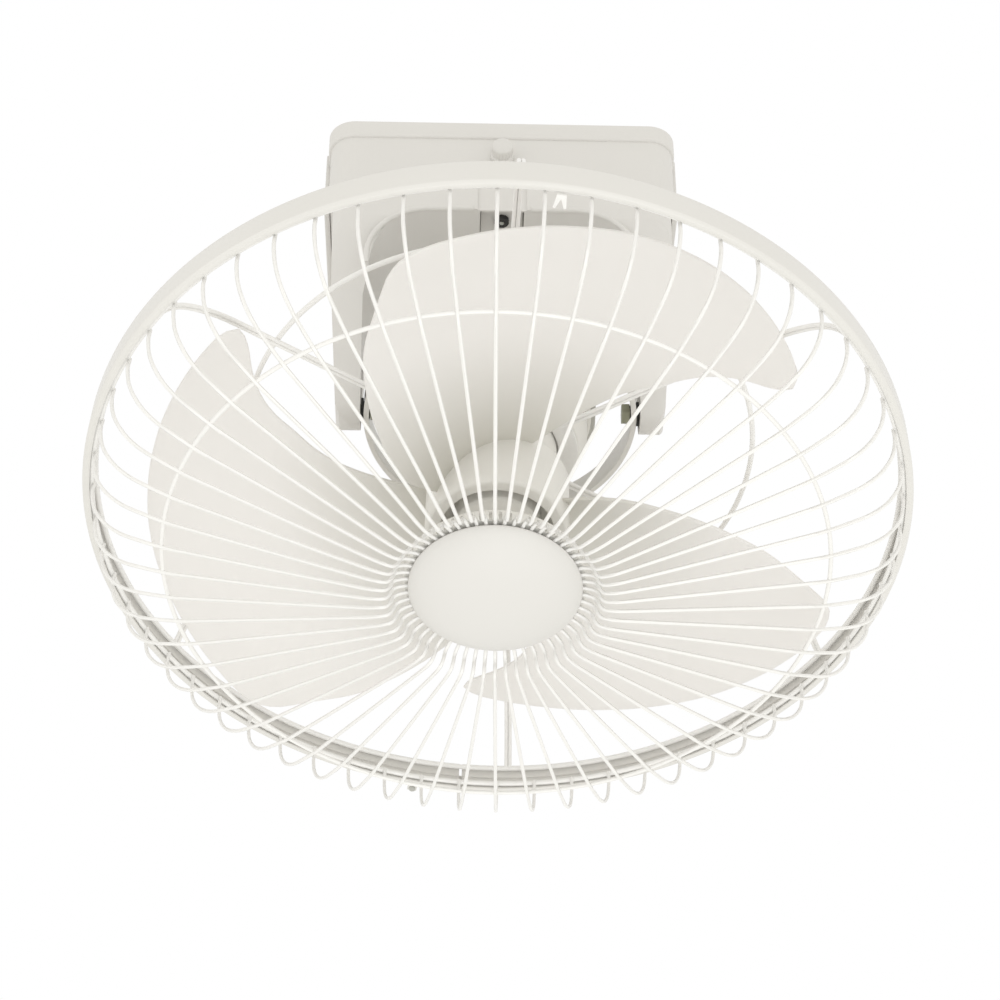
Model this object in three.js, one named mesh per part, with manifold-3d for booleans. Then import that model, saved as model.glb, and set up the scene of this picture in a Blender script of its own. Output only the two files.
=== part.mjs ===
// Orbital ceiling fan: an arched ceiling base, a gimbal ring and a caged fan head that circles under it.
// Units are millimetres, +Z is up, and Z = 0 is the ceiling face that the base is screwed to.
import * as THREE from 'three';
import { mergeVertices } from 'three/addons/utils/BufferGeometryUtils.js';
import Module from 'manifold-3d';

const wasm = await Module();
wasm.setup();

// ---- driving dimensions ----
const GAP = 0.3;                       // clearance left between neighbours that touch
const PIVOT_DROP = 175;                // ceiling to the centre of the gimbal
const ORBIT_TILT = 11.5;               // angle of the head's axis from vertical while it circles
const REST_HEADING = 6.3;              // where on its circle the head stands at rest, degrees
const LINK_RADIUS = 108;               // gimbal centre to the crank ball

const PLATE_T = 2.3;                   // ceiling plate
const PLATE_HX = 82;
const PLATE_HY = 44;
const COVER_T = 2.2;                   // arched cover
const COVER_HX = 103.5;
const COVER_HY = 58;
const LEG_HX = 95.5;
const LEG_INNER = 81;
const LEG_DROP = 12;                   // how far the legs reach below the pivot axis
const SHOULDER_DROP = 44;              // height of the square shoulder under the ceiling
const ARCH_DROP = 69;
const ARCH_R = 36;
const COLLAR_H = 12;
const COLLAR_T = 1.5;
const SLOT_HX = 13;
const WELL_R = 40;                     // opening in the arch for the swing of the crank ball
const CATCH_HX = 12.4;
const CANOPY_T = 3.2;
const KNOB_DROP = 27.4;
const KNOB_R = 5.6;

const FRAME_T = 3;                     // steel bracket inside the cover
const FRAME_CLEAR = 1.3;
const FRAME_HX = LEG_INNER + COVER_T + FRAME_CLEAR + FRAME_T;
const FRAME_HY = 17;

const RING_R = 78;                   // gimbal ring
const RING_T = 2;
const RING_H = 16;
const BOLT_R = 3.5;

const MOTOR_R = 53;                  // motor housing
const MOTOR_FRONT_R = 50.6;
const MOTOR_T = 2.5;
const MOTOR_SPLIT = -6;
const MOTOR_CONE = -20.6;
const MOTOR_SHOULDER = -33;
const SHOULDER_R = 46;
const MOTOR_NOSE = -58;
const MOTOR_TOP = 38;
const NOSE_R = 33;
const SHAFT_R = 4;
const SWING_R = 33;                    // housing of the swing drive
const SWING_TOP = 72;

const GUARD_R = 222;                   // radius on which the guard wires start
const GUARD_PLANE = -91;
const BAND_DEPTH = 7;
const BAND_R = GUARD_R + BAND_DEPTH;
const BAND_H = 18.7;
const BAND_FRONT = -94.7;
const BAND_T = 1.4;
const WIRE_R = 1.15;
const WIRES = 60;
const WIRE_TURN = -1.26;
const STRUT_TURNS = [-88.2, -30.7, 30.2, 87, 147.5, -149.1];
const REAR_RING_R = 144.6;
const CAP_R = 47;
const CAP_Z = -147;

const HUB_R = 40;                      // impeller
const HUB_BACK = -63;
const HUB_FRONT = -103;
const BLADES = 3;
const BLADE_T = 2;
const BLADE_TURN = -85.5;

// ---- colours measured on the object ----
const ivory = { color: 0xe9e6de, roughness: 0.45, metalness: 0 };
const wireWhite = { color: 0xf1efe9, roughness: 0.4, metalness: 0 };
const bladeWhite = { color: 0xe6e4de, roughness: 0.42, metalness: 0 };
const housingGrey = { color: 0xc9c6bd, roughness: 0.5, metalness: 0 };
const zinc = { color: 0x8d9089, roughness: 0.38, metalness: 0.85 };
const darkSteel = { color: 0x5b5f58, roughness: 0.42, metalness: 0.8 };
const blackRubber = { color: 0x1c1c1d, roughness: 0.8, metalness: 0 };
const copper = { color: 0xa45a32, roughness: 0.4, metalness: 0.8 };
const nylon = { color: 0xd8d6cc, roughness: 0.55, metalness: 0 };
const leadWhite = { color: 0xeceae4, roughness: 0.5, metalness: 0 };

const FACETS = 0.46;                   // share of the nominal facet count on round pieces
const rad = THREE.MathUtils.degToRad;

// ---- small solid toolkit ----
function flipped(geometry) {
  const index = geometry.index.array;
  for (let i = 0; i < index.length; i += 3) {
    const keep = index[i];
    index[i] = index[i + 1];
    index[i + 1] = keep;
  }
  return geometry;
}

function signedVolume(geometry) {
  const p = geometry.attributes.position;
  const index = geometry.index.array;
  const a = new THREE.Vector3();
  const b = new THREE.Vector3();
  const c = new THREE.Vector3();
  let sum = 0;
  for (let i = 0; i < index.length; i += 3) {
    a.fromBufferAttribute(p, index[i]);
    b.fromBufferAttribute(p, index[i + 1]);
    c.fromBufferAttribute(p, index[i + 2]);
    sum += a.dot(b.cross(c));
  }
  return sum / 6;
}

function clean(geometry) {
  const bare = geometry.clone();
  bare.deleteAttribute('normal');
  bare.deleteAttribute('uv');
  const merged = mergeVertices(bare, 1e-4);
  const source = merged.index.array;
  const kept = [];
  for (let i = 0; i < source.length; i += 3) {
    const [a, b, c] = [source[i], source[i + 1], source[i + 2]];
    if (a !== b && b !== c && a !== c) kept.push(a, b, c);
  }
  merged.setIndex(kept);
  return signedVolume(merged) < 0 ? flipped(merged) : merged;
}

function solid(geometry) {
  const g = clean(geometry);
  return new wasm.Manifold(new wasm.Mesh({
    numProp: 3,
    vertProperties: new Float32Array(g.attributes.position.array),
    triVerts: new Uint32Array(g.index.array),
  }));
}

function faceted(shape, blend) {
  const mesh = shape.asOriginal().simplify(blend).getMesh();
  const g = new THREE.BufferGeometry();
  g.setAttribute('position', new THREE.BufferAttribute(new Float32Array(mesh.vertProperties), 3));
  g.setIndex(new THREE.BufferAttribute(new Uint32Array(mesh.triVerts), 1));
  const sharp = g.toNonIndexed();
  sharp.computeVertexNormals();
  return sharp;
}

function joined(list) {
  return list.reduce((whole, next) => whole.add(next));
}

// Closed or axis-to-axis profile of [radius, z] pairs turned about Z.
function turned(profile, segments = 48, exact = false) {
  const points = profile.map(([r, z]) => new THREE.Vector2(r, z));
  const count = exact ? segments : Math.max(8, Math.round(segments * FACETS));
  const g = new THREE.LatheGeometry(points, count);
  g.rotateX(Math.PI / 2);
  return solid(g);
}

function ringOf(radius, z, wire, segments = 72, sides = 4) {
  const profile = [];
  for (let i = 0; i <= sides; i += 1) {
    const a = (2 * Math.PI * (i % sides)) / sides + Math.PI / 4;
    profile.push([radius + wire * Math.cos(a), z + wire * Math.sin(a)]);
  }
  return turned(profile, segments, true);
}

function tube(inner, outer, z0, z1, segments = 32) {
  return turned([[inner, z0], [outer, z0], [outer, z1], [inner, z1], [inner, z0]], segments);
}

function rod(radius, z0, z1, segments = 24) {
  return turned([[0, z0], [radius, z0], [radius, z1], [0, z1]], segments);
}

function box(x0, x1, y0, y1, z0, z1) {
  const g = new THREE.BoxGeometry(x1 - x0, y1 - y0, z1 - z0);
  g.translate((x0 + x1) / 2, (y0 + y1) / 2, (z0 + z1) / 2);
  return solid(g);
}

function outline(points, holes = []) {
  const shape = new THREE.Shape(points.map(([x, y]) => new THREE.Vector2(x, y)));
  for (const hole of holes) shape.holes.push(new THREE.Path(hole.map(([x, y]) => new THREE.Vector2(x, y))));
  return shape;
}

function circlePoints(cx, cy, r, count = 20) {
  return Array.from({ length: count }, (_, i) => {
    const a = (2 * Math.PI * i) / count;
    return [cx + r * Math.cos(a), cy + r * Math.sin(a)];
  });
}

function roundedPoints(hx, hy, r, steps = 5) {
  const points = [];
  const centres = [[hx - r, hy - r], [r - hx, hy - r], [r - hx, r - hy], [hx - r, r - hy]];
  centres.forEach(([cx, cy], corner) => {
    for (let i = 0; i <= steps; i += 1) {
      const a = (Math.PI / 2) * (corner + i / steps);
      points.push([cx + r * Math.cos(a), cy + r * Math.sin(a)]);
    }
  });
  return points;
}

// Outline drawn in X and Y, standing from z0 to z1.
function plate(points, z0, z1, holes = []) {
  const g = new THREE.ExtrudeGeometry(outline(points, holes), { depth: z1 - z0, bevelEnabled: false });
  g.translate(0, 0, z0);
  return solid(g);
}

// Outline drawn in X and Z, standing from y0 to y1.
function plateXZ(points, y0, y1, holes = []) {
  const g = new THREE.ExtrudeGeometry(outline(points, holes), { depth: y1 - y0, bevelEnabled: false });
  g.rotateX(Math.PI / 2);
  g.translate(0, y1, 0);
  return solid(g);
}

// Outline drawn in Y and Z, standing from x0 to x1.
function plateYZ(points, x0, x1, holes = []) {
  const g = new THREE.ExtrudeGeometry(outline(points, holes), { depth: x1 - x0, bevelEnabled: false });
  g.rotateX(Math.PI / 2);
  g.rotateZ(Math.PI / 2);
  g.translate(x0, 0, 0);
  return solid(g);
}

// Polyline that is sampled exactly at its corners.
class Track extends THREE.Curve {
  constructor(points) {
    super();
    this.points = points;
  }

  getPoint(t, target = new THREE.Vector3()) {
    const s = t * (this.points.length - 1);
    const i = Math.min(Math.floor(s + 1e-9), this.points.length - 2);
    return target.lerpVectors(this.points[i], this.points[i + 1], s - i);
  }

  getPointAt(u, target) {
    return this.getPoint(u, target);
  }

  getSpacedPoints(count) {
    return Array.from({ length: count + 1 }, (_, i) => this.getPoint(i / count));
  }

  getTangentAt(u, target = new THREE.Vector3()) {
    const i = Math.round(u * (this.points.length - 1));
    const before = this.points[Math.max(i - 1, 0)];
    const after = this.points[Math.min(i + 1, this.points.length - 1)];
    return target.subVectors(after, before).normalize();
  }
}

function wireAlong(points, radius, sides = 6, turn = 0) {
  const section = Array.from({ length: sides }, (_, i) => {
    const a = (2 * Math.PI * i) / sides + turn;
    return new THREE.Vector2(radius * Math.cos(a), radius * Math.sin(a));
  });
  const track = new Track(points.map(([x, y, z]) => new THREE.Vector3(x, y, z)));
  return solid(new THREE.ExtrudeGeometry(new THREE.Shape(section), {
    steps: points.length - 1,
    bevelEnabled: false,
    extrudePath: track,
  }));
}

function smooth(points, count) {
  const curve = new THREE.CatmullRomCurve3(points.map((p) => new THREE.Vector3(...p)), false, 'centripetal');
  return curve.getPoints(count).map((p) => [p.x, p.y, p.z]);
}

function along(axis, shape) {
  if (axis === 'x') return shape.rotate([0, 90, 0]);
  if (axis === '-x') return shape.rotate([0, -90, 0]);
  if (axis === 'y') return shape.rotate([-90, 0, 0]);
  return shape.rotate([90, 0, 0]);
}

function addPart(group, name, shape, look, blend = 0.03) {
  const mesh = new THREE.Mesh(faceted(shape, blend), new THREE.MeshStandardMaterial(look));
  mesh.name = name;
  group.add(mesh);
  return mesh;
}

// ---- rest pose of the gimbal ----
const heading = rad(REST_HEADING);
const lean = rad(ORBIT_TILT);
const ringTilt = -Math.asin(Math.sin(lean) * Math.cos(heading));
const headTilt = Math.asin(Math.sin(lean) * Math.sin(heading));
const fan = new THREE.Group();
const base = new THREE.Group();
const ring = new THREE.Group();
const head = new THREE.Group();
const spinner = new THREE.Group();
const crank = new THREE.Group();
ring.position.z = -PIVOT_DROP;
ring.rotation.x = ringTilt;
head.rotation.y = headTilt;
ring.add(head);
head.add(spinner);
head.add(crank);
fan.add(base);
fan.add(ring);

// ---- ceiling plate: pressed steel with turned-down edges, four keyhole slots and a cable hole ----
const plateOutline = roundedPoints(PLATE_HX, PLATE_HY, 8);
const plateHoles = [
  circlePoints(-PLATE_HX + 14, 30, 4.6, 14),
  circlePoints(PLATE_HX - 14, 30, 4.6, 14),
  circlePoints(-PLATE_HX + 14, -30, 4.6, 14),
  circlePoints(PLATE_HX - 14, -30, 4.6, 14),
  circlePoints(-30, 29.4, 9, 24),
];
let ceilingPlate = plate(plateOutline, -PLATE_T, 0, plateHoles);
for (const side of [-1, 1]) {
  const y0 = side > 0 ? PLATE_HY - PLATE_T : -PLATE_HY;
  const lip = box(-PLATE_HX + 12, PLATE_HX - 12, y0, y0 + PLATE_T, -9, -PLATE_T / 2);
  ceilingPlate = ceilingPlate.add(lip);
  for (const end of [-1, 1]) {
    const reach = side > 0 ? 22 : -30;
    const slot = box(-2.3, 2.3, 0, 8, -20, 5).translate([end * (PLATE_HX - 14), reach, 0]);
    ceilingPlate = ceilingPlate.subtract(slot);
  }
}
const lipNotch = box(-CATCH_HX - 2, CATCH_HX + 2, -PLATE_HY - 5, -PLATE_HY + 5, -20, -PLATE_T);
ceilingPlate = ceilingPlate.subtract(lipNotch);
const screwX = [-55, 55];
for (const x of screwX) {
  ceilingPlate = ceilingPlate.subtract(rod(2.5, -5, 5, 16).translate([x, 0, 0]));
}
addPart(base, 'ceiling_plate', ceilingPlate, zinc);

// ---- base frame: inverted U bracket that carries the pivots ----
const frameTop = -PLATE_T - GAP;
const frameLow = -PIVOT_DROP - 8.2;
let baseFrame = plateXZ([
  [-FRAME_HX, frameTop - 6],
  [-FRAME_HX + 6, frameTop],
  [FRAME_HX - 6, frameTop],
  [FRAME_HX, frameTop - 6],
  [FRAME_HX, frameLow],
  [FRAME_HX - FRAME_T, frameLow],
  [FRAME_HX - FRAME_T, frameTop - 7.5],
  [FRAME_HX - 7.5, frameTop - FRAME_T],
  [-FRAME_HX + 7.5, frameTop - FRAME_T],
  [-FRAME_HX + FRAME_T, frameTop - 7.5],
  [-FRAME_HX + FRAME_T, frameLow],
  [-FRAME_HX, frameLow],
], -FRAME_HY, FRAME_HY);
const frameSide = plateYZ([
  [-FRAME_HY, 2],
  [-FRAME_HY, -SHOULDER_DROP - 40],
  [-8.5, -PIVOT_DROP - 3],
  [-5, frameLow],
  [5, frameLow],
  [8.5, -PIVOT_DROP - 3],
  [FRAME_HY, -SHOULDER_DROP - 40],
  [FRAME_HY, 2],
], -FRAME_HX - 5, FRAME_HX + 5);
baseFrame = baseFrame.intersect(frameSide);
for (const [radius, above] of [[BOLT_R + GAP, 0], [6, 40], [8, 85]]) {
  const across = along('x', rod(radius, -FRAME_HX - 5, FRAME_HX + 5, 20));
  baseFrame = baseFrame.subtract(across.translate([0, 0, -PIVOT_DROP + above]));
}
for (const x of screwX) baseFrame = baseFrame.subtract(rod(2.5, -20, 5, 16).translate([x, 0, 0]));
baseFrame = baseFrame.subtract(rod(4 + GAP, -20, 5, 20));
for (const x of [-32, 32]) baseFrame = baseFrame.subtract(rod(7, -20, 5, 20).translate([x, 0, 0]));
addPart(base, 'base_frame', baseFrame, zinc);

screwX.forEach((x, i) => {
  const under = frameTop - FRAME_T;
  const screw = turned([
    [0, under - GAP - 3.2], [3, under - GAP - 3.2], [4.6, under - GAP - 1.6], [4.6, under - GAP],
    [2.2, under - GAP], [2.2, -0.4], [0, -0.4],
  ], 16);
  addPart(base, `frame_screw_${i + 1}`, screw.translate([x, 0, 0]), darkSteel);
});

// ---- arched cover ----
const legLow = -PIVOT_DROP - LEG_DROP;
function coverFront(inset) {
  const half = [
    [COVER_HX - inset, inset > 0 ? 5 : 0],
    [COVER_HX - inset, -SHOULDER_DROP],
    [COVER_HX - 3.5 - inset, -SHOULDER_DROP - 5],
    [LEG_HX + 4 - inset, -PIVOT_DROP + 60],
    [LEG_HX - inset, legLow + 8],
    [LEG_HX - 2.4 - inset * 0.9, legLow + 2.5 + inset * 0.4],
    [LEG_HX - 8 - inset * 0.6, legLow + inset],
    [LEG_INNER + inset, legLow + inset],
  ];
  return half;
}
function archLine(inset) {
  const arc = Array.from({ length: 9 }, (_, i) => {
    const a = (Math.PI / 2) * (i / 8);
    const r = ARCH_R + inset;
    return [LEG_INNER - 3 - ARCH_R + r * Math.cos(a), -ARCH_DROP - ARCH_R + r * Math.sin(a)];
  });
  return [[LEG_INNER + inset, -ARCH_DROP - ARCH_R - 14], ...arc];
}
const archEdge = [
  ...archLine(0),
  [SLOT_HX, -ARCH_DROP],
  [SLOT_HX - 1.5, -ARCH_DROP + 7],
];
const mirrorX = (points) => points.map(([x, z]) => [-x, z]).reverse();
const coverOuter = [...coverFront(0), ...archEdge];
const sideOuter = (inset, over) => {
  const round = Array.from({ length: 11 }, (_, i) => {
    const a = Math.PI * (1 + i / 10);
    return [(LEG_DROP - inset) * Math.cos(a), -PIVOT_DROP + (LEG_DROP - inset) * Math.sin(a)];
  });
  return [
    [-COVER_HY + inset, over],
    [-COVER_HY + inset, -ARCH_DROP - 6],
    ...round,
    [COVER_HY - inset, -ARCH_DROP - 6],
    [COVER_HY - inset, over],
  ];
};
const wide = COVER_HX + 30;
const planRound = plate(roundedPoints(COVER_HX, COVER_HY, 15), legLow - 5, 0);
let coverSolid = plateXZ([...coverOuter, ...mirrorX(coverOuter)], -COVER_HY - 5, COVER_HY + 5)
  .intersect(plateYZ(sideOuter(0, 6), -wide, wide))
  .intersect(planRound);
const collarPoints = roundedPoints(COVER_HX + COLLAR_T, COVER_HY + COLLAR_T, 15 + COLLAR_T);
const collar = plate(collarPoints, -COLLAR_H, 0)
  .intersect(box(-wide, wide, -COVER_HY - 9, -31, -COLLAR_H - 5, 5));
coverSolid = coverSolid.add(collar);
const cavityHalf = [...coverFront(COVER_T), ...archLine(COVER_T)];
const planInner = plate(roundedPoints(COVER_HX - COVER_T, COVER_HY - COVER_T, 15 - COVER_T), legLow, 6);
const cavity = plateXZ([...cavityHalf, ...mirrorX(cavityHalf)], -COVER_HY, COVER_HY)
  .intersect(plateYZ(sideOuter(COVER_T, 6), -wide, wide))
  .intersect(planInner);
coverSolid = coverSolid.subtract(cavity);
const archPanel = plateXZ([
  [-SLOT_HX - 1.5, -ARCH_DROP - 3], [-SLOT_HX - 1.5, -KNOB_DROP - 16], [SLOT_HX + 1.5, -KNOB_DROP - 16],
  [SLOT_HX + 1.5, -ARCH_DROP - 3],
], -COVER_HY - 3, -COVER_HY + 1);
coverSolid = coverSolid.subtract(archPanel);
const knobBore = along('y', rod(2.8, -COVER_HY - 5, -COVER_HY + 8));
coverSolid = coverSolid.subtract(knobBore.translate([0, 0, -KNOB_DROP]));
coverSolid = coverSolid.subtract(rod(WELL_R, -ARCH_DROP - 9, -ARCH_DROP + COVER_T + 5, 56));
const slotReach = box(-SLOT_HX, SLOT_HX, -COVER_HY + COVER_T, 0, -ARCH_DROP - 5, -ARCH_DROP + COVER_T + 1);
coverSolid = coverSolid.subtract(slotReach);
const leadR = 1.3;
const leadPass = [[66.4, -10.8, -64], [67.5, -10, -80], [69.4, -10, -100]];
coverSolid = coverSolid.subtract(wireAlong(leadPass, leadR + 1, 10));
for (const side of [-1, 1]) {
  const x0 = side > 0 ? LEG_INNER - 1 : -LEG_INNER - COVER_T - 1;
  const window = plateYZ([
    [-5, -PIVOT_DROP - 7], [5, -PIVOT_DROP - 7], [7.6, -PIVOT_DROP - 3], [8.6, -PIVOT_DROP + 12],
    [7, -PIVOT_DROP + 34], [-7, -PIVOT_DROP + 34], [-8.6, -PIVOT_DROP + 12], [-7.6, -PIVOT_DROP - 3],
  ], x0, x0 + COVER_T + 2);
  coverSolid = coverSolid.subtract(window);
}
addPart(base, 'base_cover', coverSolid, ivory);

// ---- canopy sleeve: wraps the shoulder of the cover at the sides and the back ----
const canopyInner = [COVER_HX + GAP, COVER_HY + GAP];
const canopyPoints = roundedPoints(canopyInner[0] + CANOPY_T, canopyInner[1] + CANOPY_T, 15 + CANOPY_T);
let canopy = plate(canopyPoints, -SHOULDER_DROP - 1, 0)
  .subtract(plate(roundedPoints(canopyInner[0], canopyInner[1], 15 + GAP), -SHOULDER_DROP - 9, 9))
  .subtract(box(-wide, wide, -COVER_HY - 20, -30, -SHOULDER_DROP - 9, 9));
for (const x of [-60, -48, -36, 36, 48, 60]) {
  const vent = box(x - 3, x + 3, COVER_HY - 6, COVER_HY + 12, -SHOULDER_DROP + 8, -14);
  canopy = canopy.subtract(vent);
}
addPart(base, 'canopy_sleeve', canopy, ivory);

// ---- catch behind the front wall: takes the knob and holds the downward bush ----
const catchTop = frameTop - FRAME_T - GAP;
const catchFront = -COVER_HY + COVER_T + 3;
const catchLow = -ARCH_DROP + 7;
const bushY = -COVER_HY + 16;
let catchPlate = plateYZ([
  [-FRAME_HY + 2, catchTop], [-FRAME_HY + 2, catchTop - 2.5], [catchFront + 2.5, catchTop - 2.5],
  [catchFront + 2.5, catchLow + 2.5], [-30, catchLow + 2.5], [-30, catchLow], [catchFront, catchLow],
  [catchFront, catchTop],
], -CATCH_HX, CATCH_HX);
const catchBore = along('y', rod(2.8, catchFront - 5, catchFront + 8));
catchPlate = catchPlate.subtract(catchBore.translate([0, 0, -KNOB_DROP]));
catchPlate = catchPlate.subtract(rod(3 + GAP, -8, 8, 20).translate([0, bushY, catchLow + 1]));
addPart(base, 'cover_catch', catchPlate, ivory);
const catchBush = turned([
  [1.7, -3], [4.4, -3], [4.4, -GAP], [3, -GAP], [3, 2.5 + GAP], [4.2, 2.5 + GAP], [4.2, 4.5], [1.7, 4.5],
  [1.7, -3],
], 24);
addPart(base, 'catch_bush', catchBush.translate([0, bushY, catchLow]), blackRubber);
const catchPin = turned([[0, -3.4], [1.4, -3.4], [1.4, 4.8], [2.6, 4.8], [2.6, 6.4], [0, 6.4]], 20);
addPart(base, 'catch_pin', catchPin.translate([0, bushY, catchLow]), zinc);

// ---- seat of the orbit crank: post on the frame with a shallow rubber cup around the ball's sphere ----
const ballR = 5;
const seatSphere = LINK_RADIUS + ballR + 0.8;
const seatEdge = 12;
const seatLow = -PIVOT_DROP + Math.sqrt(seatSphere ** 2 - seatEdge ** 2);
const seatTop = -PIVOT_DROP + seatSphere + 2.4;
const postTop = frameTop - FRAME_T - GAP;
const seatPost = turned([
  [0, seatTop + GAP], [seatEdge, seatTop + GAP], [seatEdge, seatTop + 6], [7, seatTop + 12], [6, postTop - 6],
  [13, postTop - 3], [13, postTop], [4, postTop], [4, -PLATE_T - GAP - 0.3], [0, -PLATE_T - GAP - 0.3],
], 32);
addPart(base, 'seat_post', seatPost, housingGrey);
const seatProfile = [[0, seatTop], [seatEdge, seatTop], [seatEdge, seatLow]];
for (let i = 5; i >= 0; i -= 1) {
  const r = (seatEdge * i) / 6;
  seatProfile.push([r, -PIVOT_DROP + Math.sqrt(seatSphere ** 2 - r ** 2)]);
}
addPart(base, 'seat_bush', turned(seatProfile, 32), blackRubber);

// ---- wiring parts inside the canopy ----
let terminal = box(-62, -34, -38, -26, frameTop - 14, frameTop - GAP);
for (const x of [-57, -48, -39]) {
  terminal = terminal.subtract(along('y', rod(2, -45, -15, 8)).translate([x, 0, frameTop - 10]));
  terminal = terminal.subtract(rod(1.7, frameTop - 20, frameTop - 8, 12).translate([x, -32, 0]));
}
addPart(base, 'terminal_block', terminal, nylon);
let capacitor = plate(roundedPoints(20, 7.5, 3), -16, -GAP).translate([46, -33, frameTop]);
addPart(base, 'run_capacitor', capacitor, darkSteel);
const gland = turned([
  [4, -7], [11.4, -7], [11.4, -GAP], [8.6, -GAP], [8.6, PLATE_T - 0.4], [4, PLATE_T - 0.4], [4, -7],
], 24);
addPart(base, 'cable_gland', gland.translate([-30, 29.4, -PLATE_T]), blackRubber);

// ---- pivot bolts and nuts on the X axis ----
const boltHead = RING_R - RING_T - 0.8;
const hexagon = circlePoints(0, 0, 6.2, 6);
for (const [side, name] of [[-1, 'left'], [1, 'right']]) {
  const outer = FRAME_HX + GAP + 4.2;
  const bolt = plate(hexagon, boltHead - 4.4, boltHead).add(rod(BOLT_R, boltHead - 1, outer + 0.2, 20));
  const nut = plate(hexagon, FRAME_HX + GAP, outer - GAP, [circlePoints(0, 0, BOLT_R + GAP, 20)]);
  const axis = side > 0 ? 'x' : '-x';
  addPart(base, `pivot_bolt_${name}`, along(axis, bolt).translate([0, 0, -PIVOT_DROP]), darkSteel);
  addPart(base, `pivot_nut_${name}`, along(axis, nut).translate([0, 0, -PIVOT_DROP]), darkSteel);
}

// ---- cover knob ----
const knobWall = -COVER_HY - GAP;
const knobReach = catchFront + 3 - knobWall;
const knob = turned([
  [0, 11], [3, 11], [3.4, 9.4], [KNOB_R - 0.5, 9.4], [KNOB_R, 8.6], [KNOB_R, 5], [KNOB_R + 1.4, 4],
  [KNOB_R + 1.4, 0],
  [2.4, 0], [2.4, -knobReach], [0, -knobReach - 1],
], 28);
const knobCuts = joined(Array.from({ length: 10 }, (_, i) => {
  const a = (2 * Math.PI * i) / 10;
  return rod(0.7, 5.4, 12, 8).translate([(KNOB_R + 0.3) * Math.cos(a), (KNOB_R + 0.3) * Math.sin(a), 0]);
}));
const knobTurned = along('-y', knob.subtract(knobCuts));
addPart(base, 'cover_knob', knobTurned.translate([0, knobWall, -KNOB_DROP]), ivory);

// ---- gimbal ring ----
const ringFlat = RING_H / 2;
let gimbalRing = turned([
  [RING_R - RING_T, -ringFlat], [RING_R + 1.2, -ringFlat], [RING_R + 1.2, -ringFlat + 1.6],
  [RING_R, -ringFlat + 2.6], [RING_R, ringFlat - 2.6], [RING_R + 1.2, ringFlat - 1.6],
  [RING_R + 1.2, ringFlat], [RING_R - RING_T, ringFlat], [RING_R - RING_T, -ringFlat],
], 64);
for (const side of [-1, 1]) {
  const centre = side * RING_R;
  gimbalRing = gimbalRing.subtract(along('x', rod(5.5, -8, 8)).translate([centre, 0, 0]));
  gimbalRing = gimbalRing.subtract(along('y', rod(3 + GAP, -8, 8)).translate([0, centre, 0]));
}
addPart(ring, 'gimbal_ring', gimbalRing, ivory);

for (const [side, name] of [[-1, 'left'], [1, 'right']]) {
  const start = RING_R + 1.2 + GAP;
  const bush = turned([
    [BOLT_R + GAP, RING_R - RING_T - 0.4], [5.1, RING_R - RING_T - 0.4], [5.1, start - 0.2],
    [7.2, start - 0.2],
    [7.2, LEG_INNER - GAP], [BOLT_R + GAP, LEG_INNER - GAP], [BOLT_R + GAP, RING_R - RING_T - 0.4],
  ], 24);
  addPart(ring, `pivot_bush_${name}`, along(side > 0 ? 'x' : '-x', bush), blackRubber);
}

// ---- pivots of the head on the ring's Y axis ----
const lugEnd = RING_R - RING_T - 1.2;
for (const [side, name] of [[-1, 'front'], [1, 'rear']]) {
  const seat = RING_R + 1.2 + GAP;
  const bolt = plate(circlePoints(0, 0, 5.6, 6), seat, seat + 3.6).add(rod(3, lugEnd - 14, seat + 1, 20));
  addPart(ring, `head_bolt_${name}`, along(side > 0 ? 'y' : '-y', bolt), darkSteel);
}

// ---- motor yoke: clamp strap with two lugs ----
const yokeIn = MOTOR_R + GAP;
const yokeOut = yokeIn + 2.6;
let yoke = tube(yokeIn, yokeOut, -3, 12, 56);
for (const side of [-1, 1]) {
  const lug = along('y', rod(8.2, yokeOut - 1.5, lugEnd, 24));
  const rib = box(-2, 2, yokeOut - 1, lugEnd - 5, -12, 8);
  const both = lug.add(rib);
  yoke = yoke.add(side > 0 ? both : both.rotate([0, 0, 180]));
}
for (const side of [-1, 1]) {
  const bore = along('y', rod(4.9, yokeOut - 1, lugEnd + 2, 24));
  yoke = yoke.subtract(side > 0 ? bore : bore.rotate([0, 0, 180]));
}
yoke = yoke.subtract(rod(yokeIn, -20, 20, 56));
addPart(head, 'motor_yoke', yoke, zinc);
for (const [side, name] of [[-1, 'front'], [1, 'rear']]) {
  const bush = tube(3 + GAP, 4.6, yokeOut + 0.3, lugEnd + 0.5, 24);
  addPart(head, `head_bush_${name}`, along(side > 0 ? 'y' : '-y', bush), blackRubber);
}

// ---- motor housings ----
const cavR = MOTOR_FRONT_R - MOTOR_T;
const bearingR = 11;
const bearingH = 7;
let motorFront = turned([
  [NOSE_R - 3, MOTOR_NOSE], [NOSE_R, MOTOR_NOSE + 3], [NOSE_R, MOTOR_SHOULDER],
  [SHOULDER_R - 1, MOTOR_SHOULDER], [SHOULDER_R, MOTOR_SHOULDER + 1.2], [MOTOR_FRONT_R, MOTOR_CONE],
  [MOTOR_FRONT_R, MOTOR_SPLIT - GAP], [cavR, MOTOR_SPLIT - GAP], [cavR, MOTOR_CONE + 0.4],
  [SHOULDER_R - 2.8, MOTOR_SHOULDER + 2.2], [NOSE_R - 2.4, MOTOR_SHOULDER + 2.2],
  [NOSE_R - 2.4, MOTOR_NOSE + 3.5],
  [bearingR + 3, MOTOR_NOSE + 3.5], [bearingR + 3, MOTOR_NOSE + 12], [bearingR + GAP, MOTOR_NOSE + 12],
  [bearingR + GAP, MOTOR_NOSE + 3.5], [7, MOTOR_NOSE + 3.5], [7, MOTOR_NOSE], [NOSE_R - 3, MOTOR_NOSE],
], 56);
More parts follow.
